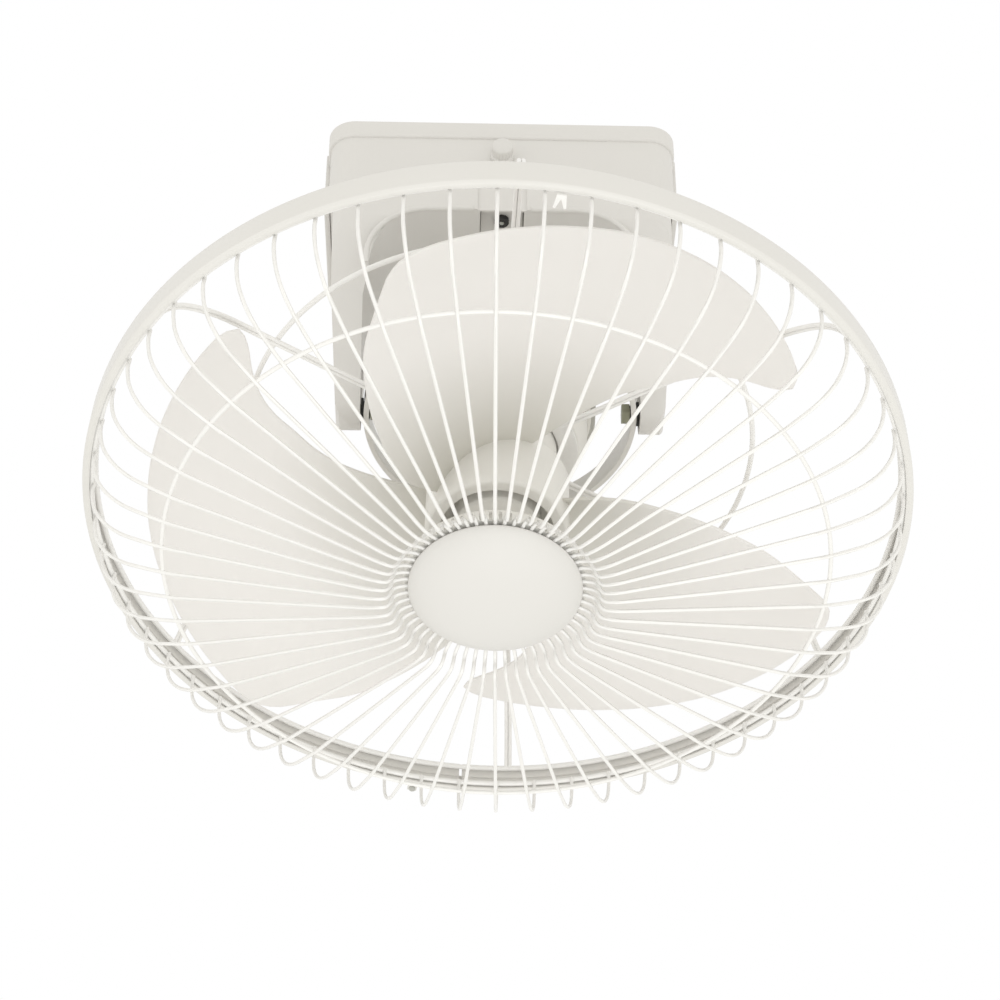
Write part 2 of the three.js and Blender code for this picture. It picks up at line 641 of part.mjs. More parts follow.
for (let i = 0; i < 8; i += 1) {
  const slot = box(18, 30, -1.6, 1.6, MOTOR_NOSE - 3, MOTOR_NOSE + 3.4).rotate([0, 0, 22.5 + 45 * i]);
  motorFront = motorFront.subtract(slot);
}
const guardScrewR = (NOSE_R + SHOULDER_R) / 2;
const guardScrewTurn = [-58.6, 61.4, 181.4];
for (const a of guardScrewTurn) {
  const screwBore = rod(2.2 + GAP, MOTOR_SHOULDER - 5, MOTOR_SHOULDER + 6, 16).translate([guardScrewR, 0, 0]);
  motorFront = motorFront.subtract(screwBore.rotate([0, 0, a]));
}
addPart(head, 'motor_front', motorFront, housingGrey);

let motorRear = turned([
  [bearingR - 3, MOTOR_TOP], [MOTOR_R - 18, MOTOR_TOP], [MOTOR_R - 9, MOTOR_TOP - 1.5],
  [MOTOR_R - 3, MOTOR_TOP - 6],
  [MOTOR_R, MOTOR_TOP - 12], [MOTOR_R, MOTOR_SPLIT], [cavR, MOTOR_SPLIT], [cavR, MOTOR_TOP - 12.5],
  [MOTOR_R - 6, MOTOR_TOP - 7.5], [MOTOR_R - 11, MOTOR_TOP - 3.2], [bearingR + 3, MOTOR_TOP - 3.2],
  [bearingR + 3, MOTOR_TOP - 11], [bearingR + GAP, MOTOR_TOP - 11], [bearingR + GAP, MOTOR_TOP - 3.2],
  [bearingR - 3, MOTOR_TOP - 3.2], [bearingR - 3, MOTOR_TOP],
], 56);
for (let i = 0; i < 12; i += 1) {
  const slot = box(MOTOR_R - 9, MOTOR_R + 4, -2, 2, 14, 23).rotate([0, 0, 30 * i]);
  motorRear = motorRear.subtract(slot);
}
const leadPort = along('x', rod(2.8, MOTOR_R - 6, MOTOR_R + 4, 16)).rotate([0, 0, -45]).translate([0, 0, 18]);
motorRear = motorRear.subtract(leadPort);
addPart(head, 'motor_rear', motorRear, housingGrey);

for (const [z, name] of [[MOTOR_NOSE + 3.5 + GAP, 'front'], [MOTOR_TOP - 3.2 - GAP - bearingH, 'rear']]) {
  const race = turned([
    [SHAFT_R + GAP, z], [6.4, z], [6.4, z + 1], [8.8, z + 1], [8.8, z], [bearingR, z],
    [bearingR, z + bearingH], [8.8, z + bearingH], [8.8, z + bearingH - 1], [6.4, z + bearingH - 1], [6.4, z + bearingH],
    [SHAFT_R + GAP, z + bearingH], [SHAFT_R + GAP, z],
  ], 28);
  addPart(head, `bearing_${name}`, race, zinc);
}

// ---- stator and windings ----
const statorLow = -20;
const statorHigh = 10;
const rotorR = 22;
const teeth = 12;
let stator = tube(rotorR + 0.8, cavR - 0.4, statorLow, statorHigh, 56);
for (let i = 0; i < teeth; i += 1) {
  const slot = box(rotorR + 3, cavR - 9, -3.2, 3.2, statorLow - 2, statorHigh + 2);
  const mouth = box(rotorR - 2, rotorR + 5, -1.1, 1.1, statorLow - 2, statorHigh + 2);
  stator = stator.subtract(slot.add(mouth).rotate([0, 0, (360 / teeth) * (i + 0.5)]));
}
addPart(head, 'stator_core', stator, darkSteel);
for (const [z0, z1, name] of [
  [statorHigh + GAP, statorHigh + 10, 'rear'],
  [statorLow - 9.5, statorLow - GAP, 'front'],
]) {
  const loops = joined(Array.from({ length: 6 }, (_, i) => {
    const bundle = box(rotorR + 4, cavR - 10, -7, 7, z0, z1);
    return bundle.rotate([0, 0, 60 * i]);
  }));
  const winding = tube(rotorR + 6, cavR - 11.5, z0, z1, 36).add(loops);
  addPart(head, `winding_${name}`, winding, copper);
}

// ---- swing drive: housing with a small geared motor ----
const swingLow = MOTOR_TOP + GAP;
let swingHousing = turned([
  [5, SWING_TOP], [SWING_R - 6, SWING_TOP], [SWING_R - 1, SWING_TOP - 3], [SWING_R, SWING_TOP - 8],
  [SWING_R, swingLow + 3], [SWING_R + 1, swingLow + 2], [SWING_R + 1, swingLow],
  [SWING_R - 2.4, swingLow], [SWING_R - 2.4, SWING_TOP - 8], [SWING_R - 4.6, SWING_TOP - 3],
  [5, SWING_TOP - 3], [5, SWING_TOP],
], 40);
for (let i = 0; i < 6; i += 1) {
  const slot = box(SWING_R - 6, SWING_R + 4, -1.5, 1.5, swingLow + 9, SWING_TOP - 13);
  swingHousing = swingHousing.subtract(slot.rotate([0, 0, 60 * i]));
}
addPart(head, 'swing_housing', swingHousing, housingGrey);
const swingMotor = turned([
  [4.4, swingLow], [25, swingLow], [25, swingLow + 16], [18, swingLow + 17.5], [18, swingLow + 24],
  [4.4, swingLow + 24], [4.4, swingLow],
], 32);
const swingTabs = box(-29.5, 29.5, -5, 5, swingLow, swingLow + 2).subtract(rod(20, 0, 99, 24));
addPart(head, 'swing_motor', swingMotor.add(swingTabs), zinc);

// ---- crank: disc, stud and ball that walk around the seat ----
const ballHeight = LINK_RADIUS * Math.cos(lean);
const ballThrow = LINK_RADIUS * Math.sin(lean);
const crankLow = SWING_TOP + 1.2;
let crankDisc = turned([
  [0, swingLow + 3], [3.6, swingLow + 3], [3.6, crankLow], [ballThrow + 8, crankLow],
  [ballThrow + 9, crankLow + 1], [ballThrow + 9, crankLow + 4], [ballThrow + 8, crankLow + 5],
  [9, crankLow + 5], [8, crankLow + 9], [0, crankLow + 9],
], 36);
crankDisc = crankDisc.subtract(rod(3 + GAP, crankLow - 2, crankLow + 9, 20).translate([ballThrow, 0, 0]));
for (const a of [70, 130, 230, 290]) {
  const relief = rod(5.2, crankLow - 2, crankLow + 9, 18).translate([ballThrow - 3, 0, 0]);
  crankDisc = crankDisc.subtract(relief.rotate([0, 0, a]));
}
addPart(crank, 'crank_disc', crankDisc, nylon);
const ballArc = Array.from({ length: 9 }, (_, i) => {
  const a = -Math.PI / 2 + 0.62 + ((Math.PI - 0.62) * i) / 8;
  return [Math.max(ballR * Math.cos(a), 0), ballHeight + ballR * Math.sin(a)];
});
ballArc[8][0] = 0;
const stud = turned([
  [0, crankLow - 0.4], [3, crankLow - 0.4], [3, crankLow + 5 + GAP], [5.4, crankLow + 5 + GAP],
  [5.4, crankLow + 8.5], [2.9, crankLow + 9.5], ...ballArc,
], 24);
addPart(crank, 'crank_stud', stud.translate([ballThrow, 0, 0]), zinc);
const toBall = new THREE.Vector3(0, 0, 1);
toBall.applyAxisAngle(new THREE.Vector3(1, 0, 0), -ringTilt);
toBall.applyAxisAngle(new THREE.Vector3(0, 1, 0), -headTilt);
crank.rotation.z = Math.atan2(toBall.y, toBall.x);

// ---- rear guard: mounting plate, six double struts and two rings ----
const strutZ = MOTOR_SHOULDER - GAP - 2.4;
let rearGuard = tube(NOSE_R + 1, SHOULDER_R - 1, strutZ, MOTOR_SHOULDER - GAP, 48);
rearGuard = rearGuard.add(ringOf(GUARD_R + 1, BAND_FRONT + BAND_H - BAND_T - 1.8 - GAP, 1.8, 60));
const strutWire = 1.35;
const strutLine = MOTOR_SHOULDER - 0.9;
const strutPath = [
  [SHOULDER_R - 6, strutZ + 1], [72, strutZ + 1], [84, strutLine], [180, strutLine], [198, -38.6], [207, -45],
  [213, -54], [GUARD_R + 0.4, BAND_FRONT + BAND_H - 3.6],
];
for (const turn of STRUT_TURNS) {
  for (const side of [-1, 1]) {
    const strut = wireAlong(strutPath.map(([r, z]) => [r, side * (strutWire - 0.05), z]), strutWire, 4);
    rearGuard = rearGuard.add(strut.rotate([0, 0, turn]));
  }
}
for (const a of guardScrewTurn) {
  const screwBore = rod(2.2 + GAP, strutZ - 5, strutZ + 9, 16).translate([guardScrewR, 0, 0]);
  rearGuard = rearGuard.subtract(screwBore.rotate([0, 0, a]));
}
addPart(head, 'rear_guard', rearGuard, wireWhite);
const ringWire = 1.6;
const rearRing = ringOf(REAR_RING_R, strutLine + strutWire + GAP + ringWire, ringWire, 48);
addPart(head, 'rear_ring', rearRing, wireWhite);
guardScrewTurn.forEach((a, i) => {
  const screw = turned([
    [0, strutZ - GAP - 2.6], [2.6, strutZ - GAP - 2.6], [4, strutZ - GAP - 1.2], [4, strutZ - GAP],
    [2.2, strutZ - GAP], [2.2, MOTOR_SHOULDER + 3], [0, MOTOR_SHOULDER + 3],
  ], 14);
  addPart(head, `guard_screw_${i + 1}`, screw.translate([guardScrewR, 0, 0]).rotate([0, 0, a]), zinc);
});

// ---- guard band: channel hoop, split at the clasp ----
const bandBack = BAND_FRONT + BAND_H;
let band = turned([
  [GUARD_R + 2.6, BAND_FRONT], [BAND_R - 1, BAND_FRONT], [BAND_R, BAND_FRONT + 1], [BAND_R, bandBack - 1],
  [BAND_R - 1, bandBack], [GUARD_R + 2.2, bandBack], [GUARD_R + 2.2, bandBack - BAND_T],
  [BAND_R - BAND_T, bandBack - BAND_T], [BAND_R - BAND_T, BAND_FRONT + BAND_T],
  [GUARD_R + 2.6, BAND_FRONT + BAND_T], [GUARD_R + 2.6, BAND_FRONT],
], 100);
const claspAngle = 94.5;
const bandGap = box(BAND_R - 20, BAND_R + 10, -2, 2, BAND_FRONT - 5, bandBack + 5);
band = band.subtract(bandGap.rotate([0, 0, claspAngle]));

// ---- clasp that closes the band: lug, keeper, pin and hinged lever ----
const claspLow = BAND_FRONT + 4;
const claspHigh = bandBack - 4;
function bandArc(inner, outer, a0, a1, z0, z1) {
  const arc = [];
  const back = [];
  for (let i = 0; i <= 6; i += 1) {
    const a = rad(a0 + ((a1 - a0) * i) / 6);
    arc.push([outer * Math.cos(a), outer * Math.sin(a)]);
    back.unshift([inner * Math.cos(a), inner * Math.sin(a)]);
  }
  return plate([...arc, ...back], z0, z1);
}
band = band.add(bandArc(BAND_R - 0.6, BAND_R + 1.5, claspAngle - 6, claspAngle - 3, claspLow, claspHigh));
addPart(head, 'guard_band', band, wireWhite);
const pinAngle = claspAngle + 7.2;
const pinR = BAND_R + 3.9;
const lugLow = claspLow - 2.2;
let claspLug = bandArc(BAND_R + GAP, BAND_R + 1.5, claspAngle + 3, claspAngle + 8.4, lugLow, claspHigh + 2.2);
for (const z of [lugLow, claspHigh + 0.4]) {
  const ear = bandArc(BAND_R + 0.8, BAND_R + 6, claspAngle + 6.5, claspAngle + 7.9, z, z + 1.8);
  claspLug = claspLug.add(ear);
}
const pinRod = rod(1.1 + 0.25, claspLow - 9, claspHigh + 9, 16).translate([pinR, 0, 0]);
const pinHole = pinRod.rotate([0, 0, pinAngle]);
claspLug = claspLug.subtract(pinHole);
addPart(head, 'clasp_lug', claspLug, wireWhite);
const claspPin = turned([
  [0, claspLow - 3.4], [2, claspLow - 3.4], [2, claspLow - 2.5], [1.1, claspLow - 2.5], [1.1, claspHigh + 2.5],
  [2, claspHigh + 2.5], [2, claspHigh + 3.4], [0, claspHigh + 3.4],
], 16);
addPart(head, 'clasp_pin', claspPin.translate([pinR, 0, 0]).rotate([0, 0, pinAngle]), zinc);
let lever = bandArc(BAND_R + 1.9, BAND_R + 3.7, claspAngle - 6.4, pinAngle - 0.3, claspLow, claspHigh);
lever = lever.add(bandArc(BAND_R + 1.9, BAND_R + 5, claspAngle - 6.4, claspAngle - 5.6, claspLow, claspHigh));
const leverEye = rod(2.2, claspLow, claspHigh, 18).translate([pinR, 0, 0]);
lever = lever.add(leverEye.rotate([0, 0, pinAngle]));
lever = lever.subtract(pinHole);
addPart(head, 'clasp_lever', lever, wireWhite);

// ---- front guard: radial wires that bulge out of the band and fold back under the cap ----
const foldR = CAP_R + 16;
const foldZ = CAP_Z - 9;
const innerZ = CAP_Z + 2.4;
const rimZ = BAND_FRONT + BAND_T + 1.8 + GAP;
const wirePath = [
  [GUARD_R, rimZ], [GUARD_R + 0.4, GUARD_PLANE - 10], [GUARD_R - 3.6, GUARD_PLANE - 25],
  [GUARD_R - 16, GUARD_PLANE - 38], [GUARD_R - 42, GUARD_PLANE - 46.3], [foldR - 1, foldZ],
  [foldR - 6.4, foldZ + 2.4], [foldR - 8.4, innerZ], [34, innerZ],
];
const oneWire = wireAlong(wirePath.map(([r, z]) => [r, 0, z]), WIRE_R * 1.2, 3);
let frontGuard = ringOf(GUARD_R + 1.6, rimZ, 1.8, WIRES, 3);
frontGuard = frontGuard.add(ringOf(GUARD_R - 42, GUARD_PLANE - 44.9, 1.5, WIRES, 3));
const allWires = [];
for (let i = 0; i < WIRES; i += 1) {
  allWires.push(oneWire.rotate([0, 0, -90 + WIRE_TURN + (360 / WIRES) * i]));
}
frontGuard = frontGuard.add(joined(allWires));
addPart(head, 'front_guard', frontGuard, wireWhite);

// ---- spring clip on the band's inner lip ----
const clipTurn = -90 + WIRE_TURN + 6 * 1.35;
const guardClip = plate([
  [-2.4, GUARD_R + 1.8], [-3.4, GUARD_R - 6], [-2.2, GUARD_R - 6.4], [0, GUARD_R - 0.6], [2.2, GUARD_R - 6.4],
  [3.4, GUARD_R - 6], [2.4, GUARD_R + 1.8],
], BAND_FRONT - 1.5, BAND_FRONT - GAP).rotate([0, 0, clipTurn - 90]);
addPart(head, 'guard_clip', guardClip, wireWhite);

// ---- cap, its back plate and the screw that clamps both on the wires ----
const capFront = innerZ - WIRE_R - GAP;
const capBack = innerZ + WIRE_R + GAP;
const cap = turned([
  [0, CAP_Z - 12], [18, CAP_Z - 11], [32, CAP_Z - 7.9], [41, CAP_Z - 4.4], [CAP_R - 1.2, CAP_Z - 1.4],
  [CAP_R, CAP_Z], [CAP_R, capFront], [CAP_R - 1.6, capFront], [CAP_R - 2.4, CAP_Z - 0.6],
  [40, CAP_Z - 2.9], [31, CAP_Z - 6.1], [18, CAP_Z - 9], [5.5, CAP_Z - 10], [5.5, CAP_Z - 1],
  [1.7, CAP_Z - 1], [1.7, CAP_Z - 9], [0, CAP_Z - 9],
], 56);
addPart(head, 'front_cap', cap, ivory);
const capPlate = turned([
  [2.2, CAP_Z - 0.7], [8, CAP_Z - 0.7], [10, capBack], [CAP_R - 3, capBack], [CAP_R - 2, capBack + 1.6],
  [12, capBack + 1.6], [2.2, capBack + 1.6], [2.2, CAP_Z - 0.7],
], 48);
addPart(head, 'cap_plate', capPlate, housingGrey);
const capScrew = turned([
  [0, CAP_Z - 8.6], [1.4, CAP_Z - 8.6], [1.4, capBack + 1.6 + GAP], [4, capBack + 1.6 + GAP],
  [4, capBack + 3], [2.6, capBack + 4.4], [0, capBack + 4.4],
], 18);
addPart(head, 'cap_screw', capScrew, zinc);

// ---- impeller: hub with ribs and three swept blades ----
const bore = SHAFT_R + GAP;
let impeller = turned([
  [HUB_R, HUB_BACK], [HUB_R, HUB_FRONT + 4], [HUB_R - 1.4, HUB_FRONT + 0.8], [HUB_R - 4, HUB_FRONT],
  [HUB_R - 4, HUB_FRONT - 2], [HUB_R - 5.5, HUB_FRONT - 3], [bore, HUB_FRONT - 3], [bore, HUB_FRONT + 24],
  [9, HUB_FRONT + 24], [9, HUB_FRONT - 0.6], [HUB_R - 6.5, HUB_FRONT - 0.6], [HUB_R - 2.4, HUB_FRONT + 4],
  [HUB_R - 2.4, HUB_BACK], [HUB_R, HUB_BACK],
], 48);
for (let i = 0; i < 6; i += 1) {
  const rib = box(8, HUB_R - 1.5, -0.9, 0.9, HUB_FRONT - 1.5, HUB_FRONT + 15).rotate([0, 0, 60 * i]);
  impeller = impeller.add(rib);
}
// Edges of one blade as [radius over the guard radius, angle] pairs; the skew surface gives their height.
const rootR = (HUB_R - 1.2) / GUARD_R;
const rootEdge = [[rootR, -63], [rootR, -42], [rootR, -21], [rootR, 0], [rootR, 22]];
const backEdge = [
  [rootR, -63], [0.265, -61], [0.335, -55.6], [0.417, -48.3], [0.5, -42.8], [0.617, -36], [0.678, -32.6],
  [0.752, -27.8], [0.8, -25.1], [0.852, -22.4], [0.878, -20.2],
];
const leadEdge = [
  [rootR, 22], [0.265, 29.5], [0.357, 33.6], [0.45, 38.2], [0.543, 44.2], [0.6, 47], [0.65, 50.4],
  [0.694, 54.5], [0.742, 59.4], [0.768, 60.9], [0.784, 61.2],
];
const tipEdge = [
  [0.878, -20.2], [0.893, -17], [0.899, -11], [0.901, -3], [0.9, 6], [0.896, 15], [0.883, 25], [0.866, 34.5],
  [0.85, 42], [0.835, 48.6], [0.821, 54.6], [0.808, 58.8], [0.784, 61.2],
];
function bladeHeight(x, y) {
  const r = Math.hypot(x, y) / GUARD_R;
  const t = THREE.MathUtils.radToDeg(Math.atan2(y, x)) / 60;
  const rise = 0.045 + 0.149 * t + 0.241 * (r - 0.6) * t - 0.138 * (r - 0.6) - 0.058 * t * t;
  return GUARD_PLANE + GUARD_R * rise;
}
function edgePoint(edge, s) {
  const curve = new THREE.CatmullRomCurve3(edge.map(([r, a]) => {
    const radius = r * GUARD_R;
    return new THREE.Vector3(radius * Math.cos(rad(a)), radius * Math.sin(rad(a)), 0);
  }), false, 'centripetal');
  return curve.getPointAt(s);
}
function bladeSolid() {
  const across = 10;
  const out = 8;
  const corners = [rootEdge[0], rootEdge[4], tipEdge[0], tipEdge[12]].map(([r, a]) => new THREE.Vector3(
    r * GUARD_R * Math.cos(rad(a)), r * GUARD_R * Math.sin(rad(a)), 0));
  const grid = [];
  for (let j = 0; j <= out; j += 1) {
    for (let i = 0; i <= across; i += 1) {
      const u = i / across;
      const v = j / out;
      const ruled = new THREE.Vector3()
        .addScaledVector(edgePoint(rootEdge, u), 1 - v)
        .addScaledVector(edgePoint(tipEdge, u), v)
        .addScaledVector(edgePoint(backEdge, v), 1 - u)
        .addScaledVector(edgePoint(leadEdge, v), u)
        .addScaledVector(corners[0], -(1 - u) * (1 - v))
        .addScaledVector(corners[1], -u * (1 - v))
        .addScaledVector(corners[2], -(1 - u) * v)
        .addScaledVector(corners[3], -u * v);
      const rim = i === 0 || i === across || j === out ? 0.3 : 0.5;
      grid.push([ruled.x, ruled.y, bladeHeight(ruled.x, ruled.y), BLADE_T * rim * (1.25 - 0.35 * v)]);
    }
  }
  const positions = [];
  for (const side of [1, -1]) for (const [x, y, z, half] of grid) positions.push(x, y, z + side * half);
  const index = [];
  const row = across + 1;
  const under = grid.length;
  for (let j = 0; j < out; j += 1) {
    for (let i = 0; i < across; i += 1) {
      const a = j * row + i;
      index.push(a, a + 1, a + row + 1, a, a + row + 1, a + row);
      const c = under + a;
      index.push(c, c + row + 1, c + 1, c, c + row, c + row + 1);
    }
  }
  const rim = [];
  for (let i = 0; i <= across; i += 1) rim.push(i);
  for (let j = 1; j <= out; j += 1) rim.push(j * row + across);
  for (let i = across - 1; i >= 0; i -= 1) rim.push(out * row + i);
  for (let j = out - 1; j >= 1; j -= 1) rim.push(j * row);
  rim.forEach((a, k) => {
    const b = rim[(k + 1) % rim.length];
    index.push(a, under + b, b, a, under + a, under + b);
  });
  const g = new THREE.BufferGeometry();
  g.setAttribute('position', new THREE.Float32BufferAttribute(positions, 3));
  g.setIndex(index);
  return solid(g);
}
const blade = bladeSolid();
for (let i = 0; i < BLADES; i += 1) impeller = impeller.add(blade.rotate([0, 0, (360 / BLADES) * i]));
addPart(spinner, 'impeller', impeller, bladeWhite);
spinner.rotation.z = rad(BLADE_TURN);

// ---- rotor, shaft and blade nut ----
const rotorCore = turned([
  [bore, statorLow - 3], [14, statorLow - 3], [15, statorLow], [rotorR, statorLow], [rotorR, statorHigh],
  [15, statorHigh], [14, statorHigh + 3], [bore, statorHigh + 3], [bore, statorLow - 3],
], 36);
addPart(spinner, 'rotor_core', rotorCore, zinc);
const shaftEnd = HUB_FRONT - 11;
const shaftTop = MOTOR_TOP - 4;
const shaft = turned([
  [0, shaftEnd], [SHAFT_R - 0.8, shaftEnd], [SHAFT_R, shaftEnd + 0.8], [SHAFT_R, shaftTop - 0.8],
  [SHAFT_R - 0.8, shaftTop], [0, shaftTop],
], 24);
addPart(spinner, 'shaft', shaft, zinc);
const nutBack = HUB_FRONT - 3 - GAP;
let bladeNut = turned([
  [bore, nutBack], [12, nutBack], [13, nutBack - 2], [12.2, nutBack - 8], [9, nutBack - 10.5],
  [0, nutBack - 11],
  [0, shaftEnd - 0.5], [bore, shaftEnd - 0.5], [bore, nutBack],
], 30);
for (let i = 0; i < 6; i += 1) {
  const flute = rod(2.2, nutBack - 14, nutBack - 2.6, 10).translate([14.4, 0, 0]).rotate([0, 0, 60 * i]);
  bladeNut = bladeNut.subtract(flute);
}
addPart(spinner, 'blade_nut', bladeNut, housingGrey);

// ---- lead between the base and the motor, held by a clip on the ring ----
const polar = (r, a, z) => [r * Math.cos(rad(a)), r * Math.sin(rad(a)), z];
const clipR = RING_R - RING_T - 3.4;
const clipA = -26;
let leadClip = plate(roundedPoints(3.2, 4, 1), 2, 11).translate([clipR + 0.1, 0, 0]);
leadClip = leadClip.subtract(rod(leadR + GAP, 0, 20, 16).translate([clipR, 0, 0]));
leadClip = leadClip.rotate([0, 0, clipA]).intersect(rod(RING_R - RING_T - GAP, -50, 50, 64));
addPart(ring, 'lead_clip', leadClip, nylon);
ring.updateMatrixWorld(true);
const toBase = (p) => {
  const v = new THREE.Vector3(...p).applyMatrix4(ring.matrix);
  return [v.x, v.y, v.z];
};
const upperPath = smooth([
  [-48, -25.4, frameTop - 10], [-40, -23, frameTop - 11.5], [-10, -22.5, frameTop - 11.5],
  [40, -20.5, frameTop - 12], [58, -16, frameTop - 18], [65, -12.5, -42], ...leadPass, [71.4, -10.6, -125],
  [72.6, -12, -143], toBase(polar(clipR + 2, clipA + 4, 26)), toBase(polar(clipR, clipA, 16)),
  toBase(polar(clipR, clipA, 6.8)),
], 30);
addPart(base, 'lead_upper', wireAlong(upperPath, leadR, 6), leadWhite);
const portA = -45;
const portZ = 18;
head.updateMatrix();
const toRing = (p) => {
  const v = new THREE.Vector3(...p).applyMatrix4(head.matrix);
  return [v.x, v.y, v.z];
};
const lowerPath = smooth([
  polar(clipR, clipA, 6.2), polar(clipR, clipA, -2), polar(clipR - 1.5, clipA - 4, -9),
  polar(clipR - 6, clipA - 11, -10.5), polar(clipR - 9.5, clipA - 16, -3), polar(clipR - 10, portA, 8),
  toRing(polar(MOTOR_R + 6.4, portA, portZ - 2.4)), toRing(polar(MOTOR_R + 4, portA, portZ)),
  toRing(polar(MOTOR_R + 2, portA, portZ)), toRing(polar(MOTOR_R - 2, portA, portZ)),
  toRing(polar(MOTOR_R - 5, portA, portZ)),
], 22);
addPart(ring, 'lead_lower', wireAlong(lowerPath, leadR, 6), leadWhite);
const grommet = turned([
  [leadR + GAP, MOTOR_R - 3.6], [2.5, MOTOR_R - 3.6], [2.5, MOTOR_R + GAP], [4, MOTOR_R + GAP],
  [4, MOTOR_R + 1.6],
  [leadR + GAP, MOTOR_R + 1.6], [leadR + GAP, MOTOR_R - 3.6],
], 20);
const grommetTurned = along('x', grommet).rotate([0, 0, portA]);
addPart(head, 'lead_grommet', grommetTurned.translate([0, 0, portZ]), blackRubber);

export default fan;
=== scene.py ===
import bmesh
import bpy
from math import atan2, cos, degrees, hypot, pi, radians, sin, tau
from mathutils import Matrix, Vector
from mathutils.geometry import interpolate_bezier


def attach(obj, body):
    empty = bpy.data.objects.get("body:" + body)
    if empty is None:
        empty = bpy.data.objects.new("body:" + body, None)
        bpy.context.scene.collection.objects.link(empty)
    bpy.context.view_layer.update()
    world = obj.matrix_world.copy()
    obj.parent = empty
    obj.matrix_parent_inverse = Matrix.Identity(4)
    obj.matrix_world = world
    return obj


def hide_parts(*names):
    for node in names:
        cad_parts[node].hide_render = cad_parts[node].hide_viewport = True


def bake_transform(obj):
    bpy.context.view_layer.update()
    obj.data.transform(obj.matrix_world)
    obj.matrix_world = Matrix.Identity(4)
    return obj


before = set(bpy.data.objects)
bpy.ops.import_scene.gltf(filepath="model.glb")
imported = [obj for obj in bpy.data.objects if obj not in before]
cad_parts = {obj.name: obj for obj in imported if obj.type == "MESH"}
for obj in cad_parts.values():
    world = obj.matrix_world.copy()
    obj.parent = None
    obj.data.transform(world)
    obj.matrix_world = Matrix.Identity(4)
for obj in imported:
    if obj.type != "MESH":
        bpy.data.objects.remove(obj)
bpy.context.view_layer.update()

# ---- Camera: looks up at the fan from in front of it and below, 36 degrees above the level ----
# A long lens from 1.3 metres away, so the round guard shows as a broad ellipse and the ceiling
# base stands behind it.
lens = bpy.data.cameras.new("camera")
lens.lens = 85.26
camera = bpy.data.objects.new("camera", lens)
camera.location = (-0.0265, -1.0852, -1.0270)
camera.rotation_euler = (radians(126), 0, radians(-1.4))
bpy.context.collection.objects.link(camera)
bpy.context.scene.camera = camera

# ---- Lead: soft white two-core flex from the terminal block to the motor ----
# It runs under the steel bracket, down the right leg and through a clip on the gimbal ring, and
# ends in the motor's grommet. It is drawn in two halves that meet at the ring.
MM = Matrix.Scale(0.001, 4)
PIVOT = -175
RING_LEAN, HEAD_LEAN = -11.4296, 1.2536
GIMBAL = Matrix.Translation((0, 0, PIVOT / 1000)) @ Matrix.Rotation(radians(RING_LEAN), 4, "X")
HEAD = GIMBAL @ Matrix.Rotation(radians(HEAD_LEAN), 4, "Y")
FLEX_THICK = 0.0032
GROMMET_TURN, GROMMET_HEIGHT = -45, 18


class Shade:
    """A material's node tree, or a socket in it that can be added to, scaled and mixed."""

    def __init__(self, tree, socket=None):
        self.tree = tree
        self.socket = socket

    def node(self, kind, settings=None, sockets=None, out=0):
        made = self.tree.nodes.new("ShaderNode" + kind)
        for key, value in (settings or {}).items():
            setattr(made, key, value)
        for key, value in (sockets or {}).items():
            if isinstance(value, Shade):
                self.tree.links.new(value.socket, made.inputs[key])
            else:
                made.inputs[key].default_value = value
        return Shade(self.tree, made.outputs[out]) if made.outputs else None

    def maths(self, operation, first, second):
        return self.node("Math", {"operation": operation}, {0: first, 1: second})

    def __add__(self, other):
        return self.maths("ADD", self, other)

    __radd__ = __add__

    def __sub__(self, other):
        return self.maths("SUBTRACT", self, other)

    def __rsub__(self, other):
        return self.maths("SUBTRACT", other, self)

    def __mul__(self, other):
        return self.maths("MULTIPLY", self, other)

    __rmul__ = __mul__

    def grain(self, size, detail):
        """Noise from 0 to 1 whose grains are about size metres across."""
        return self.node("TexNoise", sockets={
            "Vector": self.node("TexCoord", out="Object"), "Scale": 0.6 / size, "Detail": detail})

    def blend(self, low, high):
        """Two colours mixed by this value."""
        return self.node("Mix", {"data_type": "RGBA", "clamp_factor": True},
                         {"Factor": self, 6: (*low, 1), 7: (*high, 1)}, out=2)


def material(name):
    """An empty material and the Shade of its node tree."""
    made = bpy.data.materials.new(name)
    made.use_nodes = True
    made.node_tree.nodes.clear()
    return made, Shade(made.node_tree)


def surface(shade, fixed, varied, height=None, depth=0.0002, strength=0.3):
    """Principled surface: fixed numbers on its sockets, links for what varies, and a bump."""
    inputs = {**fixed, **varied}
    if height is not None:
        inputs["Normal"] = shade.node("Bump", sockets={
            "Strength": strength, "Distance": depth, "Height": height})
    shade.node("OutputMaterial", sockets={"Surface": shade.node("BsdfPrincipled", sockets=inputs)})


flex_white, shade = material("flex_white")
rub = shade.grain(0.004, 2)
surface(shade, {"IOR": 1.46},
        {"Base Color": rub.blend((0.80, 0.78, 0.72), (0.86, 0.845, 0.80)),
         "Roughness": 0.38 + rub * 0.14},
        shade.grain(0.0009, 1), 0.00004, 0.5)


def softened(points, cut, steps=4):
    """The same path with each inner corner replaced by a short curve that starts cut before it."""
    points = [Vector(p) for p in points]
    path = [points[0]]
    for before, corner, after in zip(points, points[1:], points[2:]):
        back = before - corner
        on = after - corner
        start = corner + back.normalized() * min(cut, back.length * 0.48)
        end = corner + on.normalized() * min(cut, on.length * 0.48)
        path += interpolate_bezier(start, start.lerp(corner, 0.6), end.lerp(corner, 0.6), end,
                                   steps + 1)
    return path + [points[-1]]


